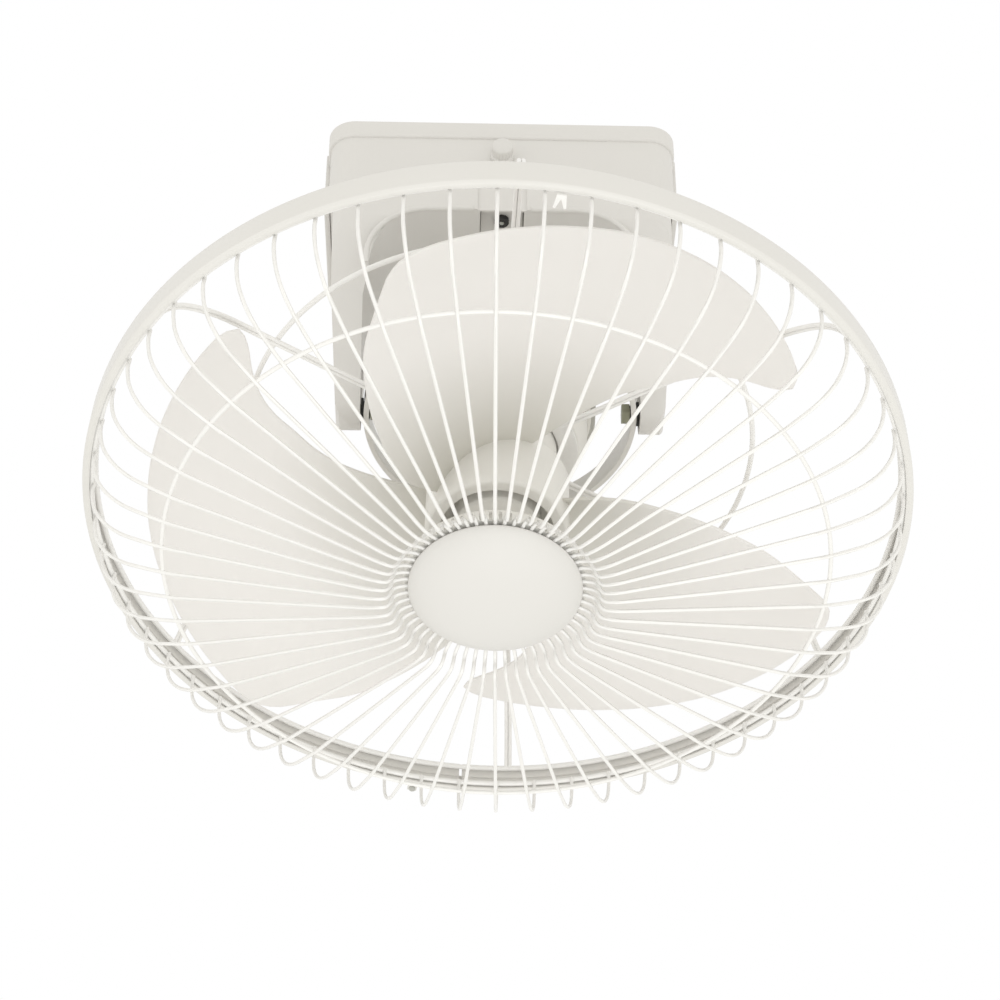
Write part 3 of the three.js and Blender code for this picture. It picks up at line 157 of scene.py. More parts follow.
def draw_wire(bm, path, radius, sides):
    """A round disc that is extruded from point to point of the path, closed at both ends."""
    way = (path[1] - path[0]).normalized()
    turn = Vector((0, 0, 1)).rotation_difference(way).to_matrix().to_4x4()
    disc = bmesh.ops.create_circle(bm, cap_ends=True, segments=sides, radius=radius,
                                   matrix=Matrix.Translation(path[0]) @ turn)
    made = list(disc["verts"])
    face = made[0].link_faces[0]
    for here, point in enumerate(path[1:], 1):
        after = path[min(here + 1, len(path) - 1)]
        step = point - path[here - 1]
        heading = ((after - point).normalized() + step.normalized()).normalized()
        grown = bmesh.ops.extrude_face_region(bm, geom=[face])["geom"]
        face = next(g for g in grown if isinstance(g, bmesh.types.BMFace))
        verts = [g for g in grown if isinstance(g, bmesh.types.BMVert)]
        bmesh.ops.translate(bm, vec=step, verts=verts)
        bend = way.rotation_difference(heading).to_matrix()
        bmesh.ops.rotate(bm, cent=point, matrix=bend, verts=verts)
        way = heading
        made += verts
    return made


def smoothed(bm, sharp):
    """Shades the mesh smooth, apart from the edges that fold by sharp degrees or more."""
    for face in bm.faces:
        face.smooth = True
    for edge in bm.edges:
        edge.smooth = edge.calc_face_angle(0) < radians(sharp)


def finished(name, bm, place, body, look, sharp=35):
    """The drawn mesh brought to its place in the row, with its material, riding on its body."""
    bmesh.ops.transform(bm, matrix=place, verts=bm.verts)
    bmesh.ops.recalc_face_normals(bm, faces=bm.faces)
    smoothed(bm, sharp)
    mesh = bpy.data.meshes.new(name)
    bm.to_mesh(mesh)
    bm.free()
    mesh.materials.append(look)
    thing = bpy.data.objects.new(name, mesh)
    bpy.context.collection.objects.link(thing)
    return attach(thing, body) if body else thing


def polar(radius, angle, height):
    """A point in metres from a radius and a height in millimetres and an angle in degrees."""
    return Vector((radius * cos(radians(angle)), radius * sin(radians(angle)), height)) * 0.001


def spline(points, count):
    """Smooth path through the points, as many points as asked, and its length."""
    curve = bpy.data.curves.new("route", "CURVE")
    curve.dimensions = "3D"
    line = curve.splines.new("BEZIER")
    line.bezier_points.add(len(points) - 1)
    line.resolution_u = 24
    for knot, point in zip(line.bezier_points, points):
        knot.co = point
        knot.handle_left_type = knot.handle_right_type = "AUTO"
    guide = bpy.data.objects.new("route", curve)
    bpy.context.collection.objects.link(guide)
    dense = [v.co.copy() for v in guide.to_mesh().vertices]
    guide.to_mesh_clear()
    bpy.data.objects.remove(guide)
    lengths = [0.0]
    for a, b in zip(dense, dense[1:]):
        lengths.append(lengths[-1] + (b - a).length)
    path, k = [], 0
    for i in range(count):
        reach = lengths[-1] * i / (count - 1)
        while k < len(lengths) - 2 and lengths[k + 1] < reach:
            k += 1
        share = (reach - lengths[k]) / (lengths[k + 1] - lengths[k])
        path.append(dense[k].lerp(dense[k + 1], share))
    return path, lengths[-1]


lead_pass = [Vector(p) for p in ((66.4, -10.8, -64), (67.5, -10, -80), (69.4, -10, -100))]
upper_route = [Vector(p) * 0.001 for p in (
    (-48, -25.4, -12.6), (-40, -23, -14.1), (-10, -22.5, -14.1), (40, -20.5, -14.6),
    (58, -16, -20.6), (65, -12.5, -42), *lead_pass, (71.4, -10.6, -125), (72.6, -12, -143))]
upper_route += [GIMBAL @ polar(r, a, z) for r, a, z in (
    (74.6, -22, 26), (72.6, -26, 16), (72.6, -26, 6.8))]
upper_gives = ((0.0714, -0.0106, -0.125), GIMBAL @ polar(72.6, -26, 16))
lower_route = [GIMBAL @ polar(r, a, z) for r, a, z in (
    (72.6, -26, 6.2), (72.6, -26, -2), (71.1, -30, -9), (66.6, -37, -10.5), (63.1, -42, -3),
    (62.6, -45, 8))]
lower_route += [HEAD @ polar(r, GROMMET_TURN, z) for r, z in (
    (59.4, 15.6), (57, GROMMET_HEIGHT), (55, GROMMET_HEIGHT), (51, GROMMET_HEIGHT),
    (48, GROMMET_HEIGHT))]
lower_gives = (GIMBAL @ polar(71.1, -30, -9), HEAD @ polar(55, GROMMET_TURN, GROMMET_HEIGHT))
for label, route, ends, bodies in (
    ("flex_upper", upper_route, upper_gives, ("base", "ring")),
    ("flex_lower", lower_route, lower_gives, ("ring", "head")),
):
    path, length = spline(route, 60)
    bm = bmesh.new()
    draw_wire(bm, path, FLEX_THICK / 2, 12)
    flex = finished(label, bm, Matrix(), None, flex_white)
    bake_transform(flex)
    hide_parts("lead_" + label[5:])

# ---- Ceiling cover: arched housing moulded in ivory resin, with a leg down to each pivot ----
# One moulding about 2 mm thick. A collar runs round the top of its front, the corners are well
# rounded, and its underside is arched over the fan head with a slot in the middle. A bead runs
# along the arch, and the front wall is bored for the knob.
HALF_WIDE, HALF_DEEP, CORNER = 103.5, 58, 15
WALL = 2.2
COLLAR = 1.5
SHOULDER = -75
LEG_INNER, LEG_OUTER, LEG_END = 81, 95.5, 12
ARCH_X, ARCH_Z, ARCH_RADIUS = 42, -105, 36
BEAD_RADIUS, BEAD_FRONT = 1.7, -57.3
KNOB_DROP = -27.4
UPRIGHT = Matrix.Rotation(pi / 2, 4, "X")
OUTWARD = Matrix.Rotation(pi / 2, 4, "Y")
SIDEWAYS = Matrix(((0, 0, 1, 0), (1, 0, 0, 0), (0, 1, 0, 0), (0, 0, 0, 1)))

ivory_resin, shade = material("ivory_resin")
sheen = shade.grain(0.05, 2)
pits = shade.grain(0.0007, 2)
surface(shade, {"IOR": 1.5},
        {"Base Color": sheen.blend((0.715, 0.70, 0.675), (0.755, 0.742, 0.72)),
         "Roughness": 0.40 + pits * 0.16 + sheen * 0.06},
        pits, 0.00005, 0.4)


def round_edges(bm, width, angle=28, segments=3, chosen=None):
    """Bevels the chosen edges, or every edge that folds more than angle degrees."""
    edges = [e for e in bm.edges
             if (chosen is None or chosen(e)) and e.calc_face_angle(0) > radians(angle)]
    bmesh.ops.bevel(bm, geom=edges, offset=width, offset_type="OFFSET", segments=segments,
                    profile=0.5, affect="EDGES", material=-1, clamp_overlap=True)


def below_ceiling(edge):
    """True for an edge that doesn't lie against the ceiling."""
    return max(v.co.z for v in edge.verts) < -1


def part_at(bm, point, normal, **side):
    """Cuts the whole mesh at a plane, and clears a side of it where asked."""
    bmesh.ops.bisect_plane(bm, geom=bm.verts[:] + bm.edges[:] + bm.faces[:], plane_co=point,
                           plane_no=normal, **side)


def slab(bm, outline, low, high, matrix=Matrix()):
    """A closed outline in X and Y made a face, extruded from low to high and then turned."""
    face = bm.faces.new([bm.verts.new((p[0], p[1], low)) for p in outline])
    grown = [g for g in bmesh.ops.extrude_face_region(bm, geom=[face])["geom"]
             if isinstance(g, bmesh.types.BMVert)]
    bmesh.ops.translate(bm, vec=(0, 0, high - low), verts=grown)
    bmesh.ops.transform(bm, matrix=matrix, verts=list(face.verts) + grown)


def rounded(hx, hy, radius, steps=8):
    """Corner points of a rounded rectangle about the origin."""
    return [(sx * (hx - radius) + radius * cos(a), sy * (hy - radius) + radius * sin(a))
            for n, (sx, sy) in enumerate(((1, 1), (-1, 1), (-1, -1), (1, -1)))
            for a in (pi / 2 * (n + i / steps) for i in range(steps + 1))]


def carve(thing, bm, operation="DIFFERENCE", place=MM):
    """Takes a drawn solid out of a piece, or adds it, for good."""
    bmesh.ops.transform(bm, matrix=place, verts=bm.verts)
    bmesh.ops.recalc_face_normals(bm, faces=bm.faces)
    tool_mesh = bpy.data.meshes.new("cutter")
    bm.to_mesh(tool_mesh)
    bm.free()
    tool = bpy.data.objects.new("cutter", tool_mesh)
    bpy.context.collection.objects.link(tool)
    take = thing.modifiers.new("carve", "BOOLEAN")
    take.operation = operation
    take.object = tool
    take.solver = "EXACT"
    bpy.context.view_layer.update()
    ready = thing.evaluated_get(bpy.context.evaluated_depsgraph_get())
    whole = bpy.data.meshes.new_from_object(ready)
    thing.modifiers.clear()
    thing.data = whole
    bpy.data.objects.remove(tool)
    bm = bmesh.new()
    bm.from_mesh(whole)
    bmesh.ops.remove_doubles(bm, verts=bm.verts, dist=1e-6)
    bmesh.ops.dissolve_degenerate(bm, edges=bm.edges, dist=1e-6)
    smoothed(bm, 32)
    bm.to_mesh(whole)
    bm.free()
    return thing


def pillar(bm, radius, low, high, matrix=Matrix(), steps=32):
    """A round bar along Z from low to high, then turned."""
    lift = Matrix.Translation((0, 0, (low + high) / 2))
    bmesh.ops.create_cone(bm, cap_ends=True, segments=steps, radius1=radius, radius2=radius,
                          depth=high - low, matrix=matrix @ lift)


def arch_line(radius, count):
    """The right quarter of the arch, from the leg up to the level underside."""
    return [(ARCH_X + radius * cos(pi / 2 / count * i), ARCH_Z + radius * sin(pi / 2 / count * i))
            for i in range(count + 1)]


def cover_form(name, inset, top):
    """The cover's outer form, or the hollow inside it: an arched front, legs that taper to round
    ends, and a plan with rounded corners."""
    foot = PIVOT - LEG_END
    half = [(HALF_WIDE - inset, top), (HALF_WIDE - inset, -44), (100 - inset, -49),
            (99.5 - inset, -115), (LEG_OUTER - inset, foot + 8),
            (93.1 - 0.9 * inset, foot + 2.5 + 0.4 * inset), (87.5 - 0.6 * inset, foot + inset),
            (LEG_INNER + inset, foot + inset), (LEG_INNER + inset, -119),
            *arch_line(ARCH_RADIUS + inset, 16)]
    bm = bmesh.new()
    slab(bm, half + [(-x, z) for x, z in reversed(half)], -HALF_DEEP + inset, HALF_DEEP - inset,
         UPRIGHT)
    for height in (SHOULDER, PIVOT, PIVOT - 3, PIVOT - 6, PIVOT - 8.5, PIVOT - 10.5):
        part_at(bm, (0, 0, height), (0, 0, 1))
    for v in bm.verts:
        if v.co.z < SHOULDER:
            down = (SHOULDER - v.co.z) / (SHOULDER - PIVOT)
            depth = HALF_DEEP - (HALF_DEEP - LEG_END) * down - inset
            if down > 1:
                depth = max((LEG_END - inset) ** 2 - (PIVOT - v.co.z) ** 2, 5) ** 0.5
            v.co.y = depth if v.co.y > 0 else -depth
    bmesh.ops.recalc_face_normals(bm, faces=bm.faces)
    if inset == 0:
        round_edges(bm, 1.6, 32, 3, below_ceiling)
    form = finished(name, bm, MM, None, ivory_resin)
    bm = bmesh.new()
    slab(bm, rounded(HALF_WIDE - inset, HALF_DEEP - inset, CORNER - inset, 12), -200, 9)
    return carve(form, bm, "INTERSECT")


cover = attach(cover_form("cover_shell", 0, 0), "base")
bm = bmesh.new()
slab(bm, rounded(HALF_WIDE + COLLAR, HALF_DEEP + COLLAR, CORNER + COLLAR, 12), -12, 0)
part_at(bm, (0, -31, 0), (0, 1, 0), clear_outer=True)
bmesh.ops.holes_fill(bm, edges=bm.edges[:])
bmesh.ops.recalc_face_normals(bm, faces=bm.faces)
round_edges(bm, 1.2, 40, 4, below_ceiling)
carve(cover, bm, "UNION")
hollow = cover_form("hollow", WALL, 6)
bm = bmesh.new()
bm.from_mesh(hollow.data)
bpy.data.objects.remove(hollow)
carve(cover, bm, place=Matrix())
for side in (-1, 1):
    bead = [(78.9, -112), *arch_line(ARCH_RADIUS + 0.9, 14), (17, -68.1)]
    bm = bmesh.new()
    draw_wire(bm, [Vector((side * x, BEAD_FRONT, z)) for x, z in bead], BEAD_RADIUS, 12)
    carve(cover, bm, "UNION")
bm = bmesh.new()
pillar(bm, 40, -76, -60, steps=96)
carve(cover, bm)
for half_slot, front, rear, low, high in (
    (13, -55.8, 0, -75, -65.8),
    (14.5, -66, -57, -72, -43.4),
):
    lift = Matrix.Translation((0, 0, (low + high) / 2))
    bm = bmesh.new()
    slab(bm, rounded(half_slot, (high - low) / 2, 1.2), -rear, -front, lift @ UPRIGHT)
    carve(cover, bm)
bm = bmesh.new()
draw_wire(bm, lead_pass, 2.3, 16)
carve(cover, bm)
window = [(-5, -7), (5, -7), (7.6, -3), (8.6, 12), (7, 34), (-7, 34), (-8.6, 12), (-7.6, -3)]
for wall in (-84, 80):
    bm = bmesh.new()
    slab(bm, [(y, PIVOT + z) for y, z in window], wall, wall + 4.2, SIDEWAYS)
    carve(cover, bm)
bm = bmesh.new()
pillar(bm, 2.8, 50, 66, Matrix.Translation((0, 0, KNOB_DROP)) @ UPRIGHT)
carve(cover, bm)
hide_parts("base_cover")

# ---- Canopy sleeve: ivory resin wrap round the sides and back of the cover's shoulder ----
# A thin moulded skirt that slides over the shoulder, with a row of air slots in its back.
bm = bmesh.new()
slab(bm, rounded(HALF_WIDE + 3.5, HALF_DEEP + 3.5, CORNER + 3), -45, 0)
bmesh.ops.delete(bm, geom=[f for f in bm.faces if abs(f.normal.z) > 0.9], context="FACES")
part_at(bm, (0, -30, 0), (0, -1, 0), clear_outer=True)
bmesh.ops.recalc_face_normals(bm, faces=bm.faces)
bmesh.ops.solidify(bm, geom=bm.faces[:], thickness=3.2)
round_edges(bm, 0.8, 40, 2)
canopy = finished("canopy_skirt", bm, MM, "base", ivory_resin)
bm = bmesh.new()
for x in (-60, -48, -36, 36, 48, 60):
    slab(bm, rounded(3, 11, 2.9, 4), 50, 70, Matrix.Translation((x, 0, -25)) @ UPRIGHT.inverted())
carve(canopy, bm)
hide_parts("canopy_sleeve")

# ---- Cover knob: small fluted quarter-turn knob that holds the cover to the catch behind ----
# Moulded in the same ivory resin, with a flange against the wall and a ring of fine flutes.


def lathe(bm, profile, steps=96):
    """Points of (radius, height) spun about Z. A profile that leaves the axis is a closed loop."""
    rim = [bm.verts.new((r, 0, z)) for r, z in profile]
    open_ends = profile[0][0] == 0 and profile[-1][0] == 0
    pairs = zip(rim, rim[1:] if open_ends else rim[1:] + rim[:1])
    edges = [bm.edges.new(pair) for pair in pairs]
    bmesh.ops.spin(bm, geom=rim + edges, cent=(0, 0, 0), axis=(0, 0, 1), angle=tau, steps=steps,
                   use_merge=True)
    bmesh.ops.remove_doubles(bm, verts=bm.verts, dist=1e-4)


KNOB = MM @ Matrix.Translation((0, -58.3, KNOB_DROP)) @ UPRIGHT
FLUTES = 20
bm = bmesh.new()
lathe(bm, [(0, 11), (5, 11), (6, 10.5), (6.4, 9.6), (6.4, 5), (5.8, 4.6), (5.8, 3.6), (7, 3.2),
           (7, 0), (2.4, 0), (2.4, -8), (0, -9.2)], 60)
round_edges(bm, 0.35, 28, 3)
knob = finished("thumb_knob", bm, KNOB, "knob", ivory_resin)
bm = bmesh.new()
for n in range(FLUTES):
    turn = Matrix.Rotation(tau * n / FLUTES, 4, "Z")
    pillar(bm, 0.4, 4.8, 9, turn @ Matrix.Translation((6.6, 0, 0)), 10)
carve(knob, bm, place=KNOB)
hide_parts("cover_knob")

# ---- Gimbal ring: rolled steel hoop, powder coated, that tilts on two bolts in the legs ----
# A flat band with slightly rolled edges, bored for the pivot bushes and for the head's bolts.
ivory_coat, shade = material("ivory_coat")
peel = shade.grain(0.0016, 2)
tone = shade.grain(0.06, 2)
surface(shade, {"IOR": 1.5, "Coat Roughness": 0.2},
        {"Base Color": tone.blend((0.74, 0.725, 0.695), (0.78, 0.767, 0.74)),
         "Roughness": 0.33 + peel * 0.14, "Coat Weight": 0.12 + tone * 0.08},
        peel, 0.00006, 0.35)

BUSH_BORE, BOLT_BORE = 5.5, 3.3


def about_z(angle):
    """Turn about the upright axis, in degrees."""
    return Matrix.Rotation(radians(angle), 4, "Z")


bm = bmesh.new()
lathe(bm, [(76, -8), (79.2, -8), (79.2, -6.4), (78, -5.4), (78, 5.4), (79.2, 6.4), (79.2, 8),
           (76, 8)], 128)
round_edges(bm, 0.5, 28, 3)
hoop = finished("tilt_hoop", bm, GIMBAL @ MM, "ring", ivory_coat)
bm = bmesh.new()
for turn, bore in ((0, BUSH_BORE), (90, BOLT_BORE), (180, BUSH_BORE), (270, BOLT_BORE)):
    pillar(bm, bore, 70, 86, about_z(turn) @ OUTWARD, 24)
carve(hoop, bm, place=GIMBAL @ MM)
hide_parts("gimbal_ring")

# ---- Motor: two drawn housings clamped in a strap, with the swing drive's housing behind ----
# The front one steps in to a nose with vent slots, the rear one has slots round its shoulder.
grey_paint, shade = material("grey_paint")
peel = shade.grain(0.0013, 2)
tone = shade.grain(0.03, 3)
surface(shade, {"IOR": 1.5},
        {"Base Color": tone.blend((0.785, 0.77, 0.73), (0.835, 0.822, 0.785)),
         "Roughness": 0.36 + peel * 0.16},
        peel, 0.00007, 0.4)


def slots(bm, count, inner, outer, width, low, high):
    """Upright slots with round ends, spaced evenly about Z."""
    outline = rounded(width / 2, (high - low) / 2, width / 2 - 0.05, 4)
    lift = Matrix.Translation((0, 0, (low + high) / 2))
    for n in range(count):
        turn = Matrix.Rotation(tau * n / count, 4, "Z")
        slab(bm, outline, inner, outer, turn @ lift @ SIDEWAYS)


bm = bmesh.new()
lathe(bm, [(30, -58), (33, -55), (33, -33), (45, -33), (46, -31.8), (50.6, -20.6), (50.6, -6.3),
           (48.1, -6.3), (48.1, -20.2), (43.2, -30.8), (30.6, -30.8), (30.6, -54.5), (14, -54.5),
           (14, -46), (11.3, -46), (11.3, -54.5), (7, -54.5), (7, -58)])
round_edges(bm, 0.8, 20, 3)
motor_nose = finished("motor_nose", bm, HEAD @ MM, "head", grey_paint)
bm = bmesh.new()
for n in range(8):
    slab(bm, [(x + 24, y) for x, y in rounded(6, 1.6, 1.5, 4)], -61, -54, about_z(22.5 + 45 * n))
carve(motor_nose, bm, place=HEAD @ MM)
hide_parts("motor_front")
bm = bmesh.new()
lathe(bm, [(8, 38), (35, 38), (44, 36.5), (50, 32), (53, 26), (53, -6), (48.1, -6), (48.1, 25.5),
           (47, 30.5), (42, 34.8), (14, 34.8), (14, 27), (11.3, 27), (11.3, 34.8), (8, 34.8)])
round_edges(bm, 0.8, 20, 3)
motor_back = finished("motor_back", bm, HEAD @ MM, "head", grey_paint)
bm = bmesh.new()
slots(bm, 12, 44, 57, 4, 14, 23)
grommet = Matrix.Translation((0, 0, GROMMET_HEIGHT)) @ about_z(GROMMET_TURN)
pillar(bm, 2.8, 47, 57, grommet @ OUTWARD, 20)
carve(motor_back, bm, place=HEAD @ MM)
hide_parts("motor_rear")
bm = bmesh.new()
lathe(bm, [(5, 72), (27, 72), (32, 69), (33, 64), (33, 41.3), (34, 40.3), (34, 38.3), (30.6, 38.3),
           (30.6, 64), (28.4, 69), (5, 69)])
round_edges(bm, 0.8, 28, 3)
swing = finished("swing_case", bm, HEAD @ MM, "head", grey_paint)
bm = bmesh.new()
slots(bm, 6, 27, 37, 3, 47.3, 59)
carve(swing, bm, place=HEAD @ MM)
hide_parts("swing_housing")

# ---- Rear guard: mounting plate, six double struts and two rings, welded and coated ----
# Steel wire dipped white. The struts lie flat behind the blades and turn forward into the band.
wire_dip, shade = material("wire_dip")
runs = shade.grain(0.002, 2)
surface(shade, {"IOR": 1.5, "Coat Roughness": 0.15},
        {"Base Color": runs.blend((0.86, 0.85, 0.83), (0.90, 0.89, 0.875)),
         "Roughness": 0.30 + runs * 0.14, "Coat Weight": 0.15 + runs * 0.1},
        runs, 0.00005, 0.35)

RIM_WIRE, STRUT_WIRE = 1.5, 1.15
STRUT_TURNS = (-88.2, -30.7, 30.2, 87, 147.5, -149.1)
bm = bmesh.new()
lathe(bm, [(34, -35.7), (45, -35.7), (45, -33.3), (34, -33.3)])
round_edges(bm, 0.5, 28, 2)
plate = finished("guard_plate", bm, HEAD @ MM, "head", wire_dip)
bm = bmesh.new()
for turn in (-58.6, 61.4, 181.4):
    pillar(bm, 2.5, -38, -31, about_z(turn) @ Matrix.Translation((39.5, 0, 0)), 20)
carve(plate, bm, place=HEAD @ MM)


def hoop_wire(bm, radius, height, thick):
    """A ring of round wire, thick from its middle to its skin."""
    made = bmesh.ops.create_circle(bm, segments=12, radius=thick,
                                   matrix=Matrix.Translation((radius, 0, height)) @ UPRIGHT)
    bmesh.ops.spin(bm, geom=made["verts"] + list({e for v in made["verts"] for e in v.link_edges}),
                   cent=(0, 0, 0), axis=(0, 0, 1), angle=tau, steps=180, use_merge=True)


bm = bmesh.new()
hoop_wire(bm, 223, -79.5, RIM_WIRE)
strut = softened([(40, 0, -34.7), (72, 0, -34.7), (84, 0, -33.9), (180, 0, -33.9), (198, 0, -38.6),
                  (207, 0, -45), (213, 0, -54), (222.4, 0, -79.4)], 8)
for turn in STRUT_TURNS:
    for side in (-STRUT_WIRE, STRUT_WIRE):
        verts = draw_wire(bm, [p + Vector((0, side, 0)) for p in strut], STRUT_WIRE, 12)
        bmesh.ops.rotate(bm, cent=(0, 0, 0), matrix=Matrix.Rotation(radians(turn), 3, "Z"),
                         verts=verts)
back_guard = finished("back_guard", bm, HEAD @ MM, "head", wire_dip)
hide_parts("rear_guard")
bm = bmesh.new()
hoop_wire(bm, 144.6, -31.2, RIM_WIRE)
back_ring = finished("back_ring", bm, HEAD @ MM, "head", wire_dip)
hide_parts("rear_ring")

# ---- Guard band: rolled steel channel that clamps the two guards together ----
# Its lips fold in over both rim wires. At the far side it is split, and a clasp pulls it shut on
# a keeper that stands proud of it.
CLASP = 94.5
KEEPER_INNER, KEEPER_OUTER = 228, 230
bm = bmesh.new()
lathe(bm, [(224.4, -94.6), (227.1, -94.6), (228.5, -93.2), (228.5, -77.6), (227.1, -76.2),
           (224, -76.2), (224, -77.4), (225.8, -78), (225.8, -84.4), (227, -84.7), (227, -85.9),
           (225.8, -86.2), (225.8, -92.8), (224.4, -93.4)], 240)
round_edges(bm, 0.3, 40, 2)
band = finished("band_channel", bm, HEAD @ MM, "head", ivory_coat)
bm = bmesh.new()
slab(bm, [(209, -0.9), (239, -0.9), (239, 0.9), (209, 0.9)], -100, -70, about_z(CLASP))
carve(band, bm, place=HEAD @ MM)
bm = bmesh.new()
arc = [radians(CLASP - 6 + 0.5 * n) for n in range(7)]
slab(bm, [(r * cos(a), r * sin(a))
          for r, run in ((KEEPER_INNER, arc), (KEEPER_OUTER, arc[::-1])) for a in run], -90.7, -80)
carve(band, bm, "UNION", HEAD @ MM)
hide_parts("guard_band")

# ---- Front guard: sixty wires that bulge out of the band and fold back under the cap ----
# Each is one bent wire, welded to a rim ring and to a ring behind the wires near the rim.
WIRES, FIRST_WIRE = 60, -91.26
GUARD_WIRE, MIDDLE_WIRE = 1.05, 1.2
bm = bmesh.new()
hoop_wire(bm, 223.6, -91.2, RIM_WIRE)
hoop_wire(bm, 180, -135.7, MIDDLE_WIRE)
wire = softened([(222, 0, -91.2), (222.4, 0, -101), (218.4, 0, -116), (206, 0, -129),
                 (180, 0, -137.3), (62, 0, -156), (56.6, 0, -153.6), (54.6, 0, -144.6),
                 (34, 0, -144.6)], 9, 5)
verts = draw_wire(bm, wire, GUARD_WIRE, 10)
bmesh.ops.rotate(bm, cent=(0, 0, 0), matrix=Matrix.Rotation(radians(FIRST_WIRE), 3, "Z"),
                 verts=verts)
whole = list({g for v in verts for f in v.link_faces for g in (f, *f.verts, *f.edges)})
bmesh.ops.spin(bm, geom=whole, cent=(0, 0, 0), axis=(0, 0, 1), angle=tau * (WIRES - 1) / WIRES,
               steps=WIRES - 1, use_duplicate=True)
cage = finished("front_cage", bm, HEAD @ MM, "head", wire_dip)
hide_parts("front_guard")

# ---- Cap: shallow ivory dome over the ends of the guard wires, left plain ----
# Pressed against the wires by a screw from behind, with a thin rolled rim.
bm = bmesh.new()
lathe(bm, [(0, -159), (10, -158.7), (18, -158), (25, -156.7), (32, -154.9), (37, -153.3),
           (41, -151.4), (44.2, -149.6), (45.8, -148.4), (47, -147), (47, -146.05),
           (45.4, -146.05), (44.6, -147.6), (40, -149.9), (31, -153.1), (18, -156), (5.5, -157),
           (5.5, -148), (1.7, -148), (1.7, -156), (0, -156)], 128)
round_edges(bm, 0.35, 40, 2)
dome = finished("cap_dome", bm, HEAD @ MM, "head", ivory_resin, 50)
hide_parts("front_cap")

# ---- Cap plate: painted disc behind the cap that holds the ends of the guard wires ----
# Its turned rim stands just outside the cap and has a notch between each pair of wires.
FIRST_NOTCH = -88.26
bm = bmesh.new()
lathe(bm, [(2.2, -147.7), (8, -147.7), (10, -143.2), (48.8, -143.2), (49.6, -142.4),
           (49.6, -137.4), (47, -137.4), (47, -141.6), (2.2, -141.6)], 120)
round_edges(bm, 0.3, 40, 2)
clamp_disc = finished("clamp_disc", bm, HEAD @ MM, "head", grey_paint)
bm = bmesh.new()
for n in range(WIRES):
    slab(bm, [(47.6, -0.85), (53, -0.85), (53, 0.85), (47.6, 0.85)], -146, -138.6,
         about_z(FIRST_NOTCH + 360 / WIRES * n))
carve(clamp_disc, bm, place=HEAD @ MM)
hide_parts("cap_plate")

# ---- Impeller: hub and three broad swept blades in one off-white resin moulding ----
# The blades are thin enough to let a little light through, and let less through at the root,
# as if thicker there; painted shade darkens their colour towards the root.
GUARD_RADIUS = 222
BLADE_PLANE = -91
BLADES = 3
ROTOR = HEAD @ about_z(-85.5)
blade_resin, shade = material("blade_resin")
flow = shade.grain(0.08, 2)
pits = shade.grain(0.0009, 2)
# Share towards the root: it cuts the light let through, and darkens the colour with painted shade.
thick = shade.node("Attribute", {"attribute_name": "root_shade_and_thickness"}, out=2)
film = flow.blend((0.915, 0.90, 0.88), (0.94, 0.925, 0.907))
# Painted shade: towards the root the colour darkens to this olive grey.
film_and_painted_root_shade = shade.node("Mix", {"data_type": "RGBA"},
                  {"Factor": thick * 0.8, 6: film, 7: (0.62, 0.60, 0.53, 1)}, out=2)
solid = shade.node("BsdfPrincipled", sockets={
    "IOR": 1.5, "Base Color": film_and_painted_root_shade, "Roughness": 0.34 + pits * 0.14,
    "Normal": shade.node("Bump", sockets={"Strength": 0.3, "Distance": 0.00004, "Height": pits})})
glowing = shade.node("BsdfTranslucent", sockets={"Color": film_and_painted_root_shade})
shade.node("OutputMaterial", sockets={"Surface": shade.node("MixShader", sockets={
    0: (0.36 + flow * 0.1) * (1 - thick * 0.8), 1: solid, 2: glowing})})

bm = bmesh.new()
lathe(bm, [(40, -63), (40, -99), (38.6, -102.2), (37.4, -103), (31.8, -103), (31.2, -86),
           (24.4, -86), (23.8, -98.8), (22.6, -100.4), (14, -104.2), (9, -106), (4.3, -106),
           (4.3, -79), (9, -79), (9, -103.6), (13.4, -102.2), (21.4, -98.8), (22.2, -84),
           (33.4, -84), (33.8, -101), (36.6, -101), (37.6, -98.4), (37.6, -63)])
round_edges(bm, 0.5, 28, 3)
hub_look = finished("impeller_hub", bm, ROTOR @ MM, "rotor", grey_paint)

# The blade's four edges, as shares of the guard's radius and degrees round the hub.
root = [(0.175, -63), (0.175, -42), (0.175, -21), (0.175, 0), (0.175, 22)]
back = [(0.175, -63), (0.265, -61), (0.335, -55.6), (0.417, -48.3), (0.5, -42.8), (0.617, -36),
        (0.678, -32.6), (0.752, -27.8), (0.8, -25.1), (0.852, -22.4), (0.878, -20.2)]
lead = [(0.175, 22), (0.265, 29.5), (0.357, 33.6), (0.45, 38.2), (0.543, 44.2), (0.6, 47),
        (0.65, 50.4), (0.694, 54.5), (0.742, 59.4), (0.768, 60.9), (0.784, 61.2)]
tip = [(0.878, -20.2), (0.893, -17), (0.899, -11), (0.901, -3), (0.9, 6), (0.896, 15), (0.883, 25),
       (0.866, 34.5), (0.85, 42), (0.835, 48.6), (0.821, 54.6), (0.808, 58.8), (0.784, 61.2)]
ACROSS, OUT = 40, 30
edges = [spline([polar(GUARD_RADIUS * r, a, 0) for r, a in edge], count + 1)[0]
         for edge, count in ((root, ACROSS), (tip, ACROSS), (back, OUT), (lead, OUT))]
bm = bmesh.new()
root_shade_and_thickness = bm.verts.layers.float.new("root_shade_and_thickness")
bmesh.ops.create_grid(bm, x_segments=ACROSS, y_segments=OUT, size=0.5)
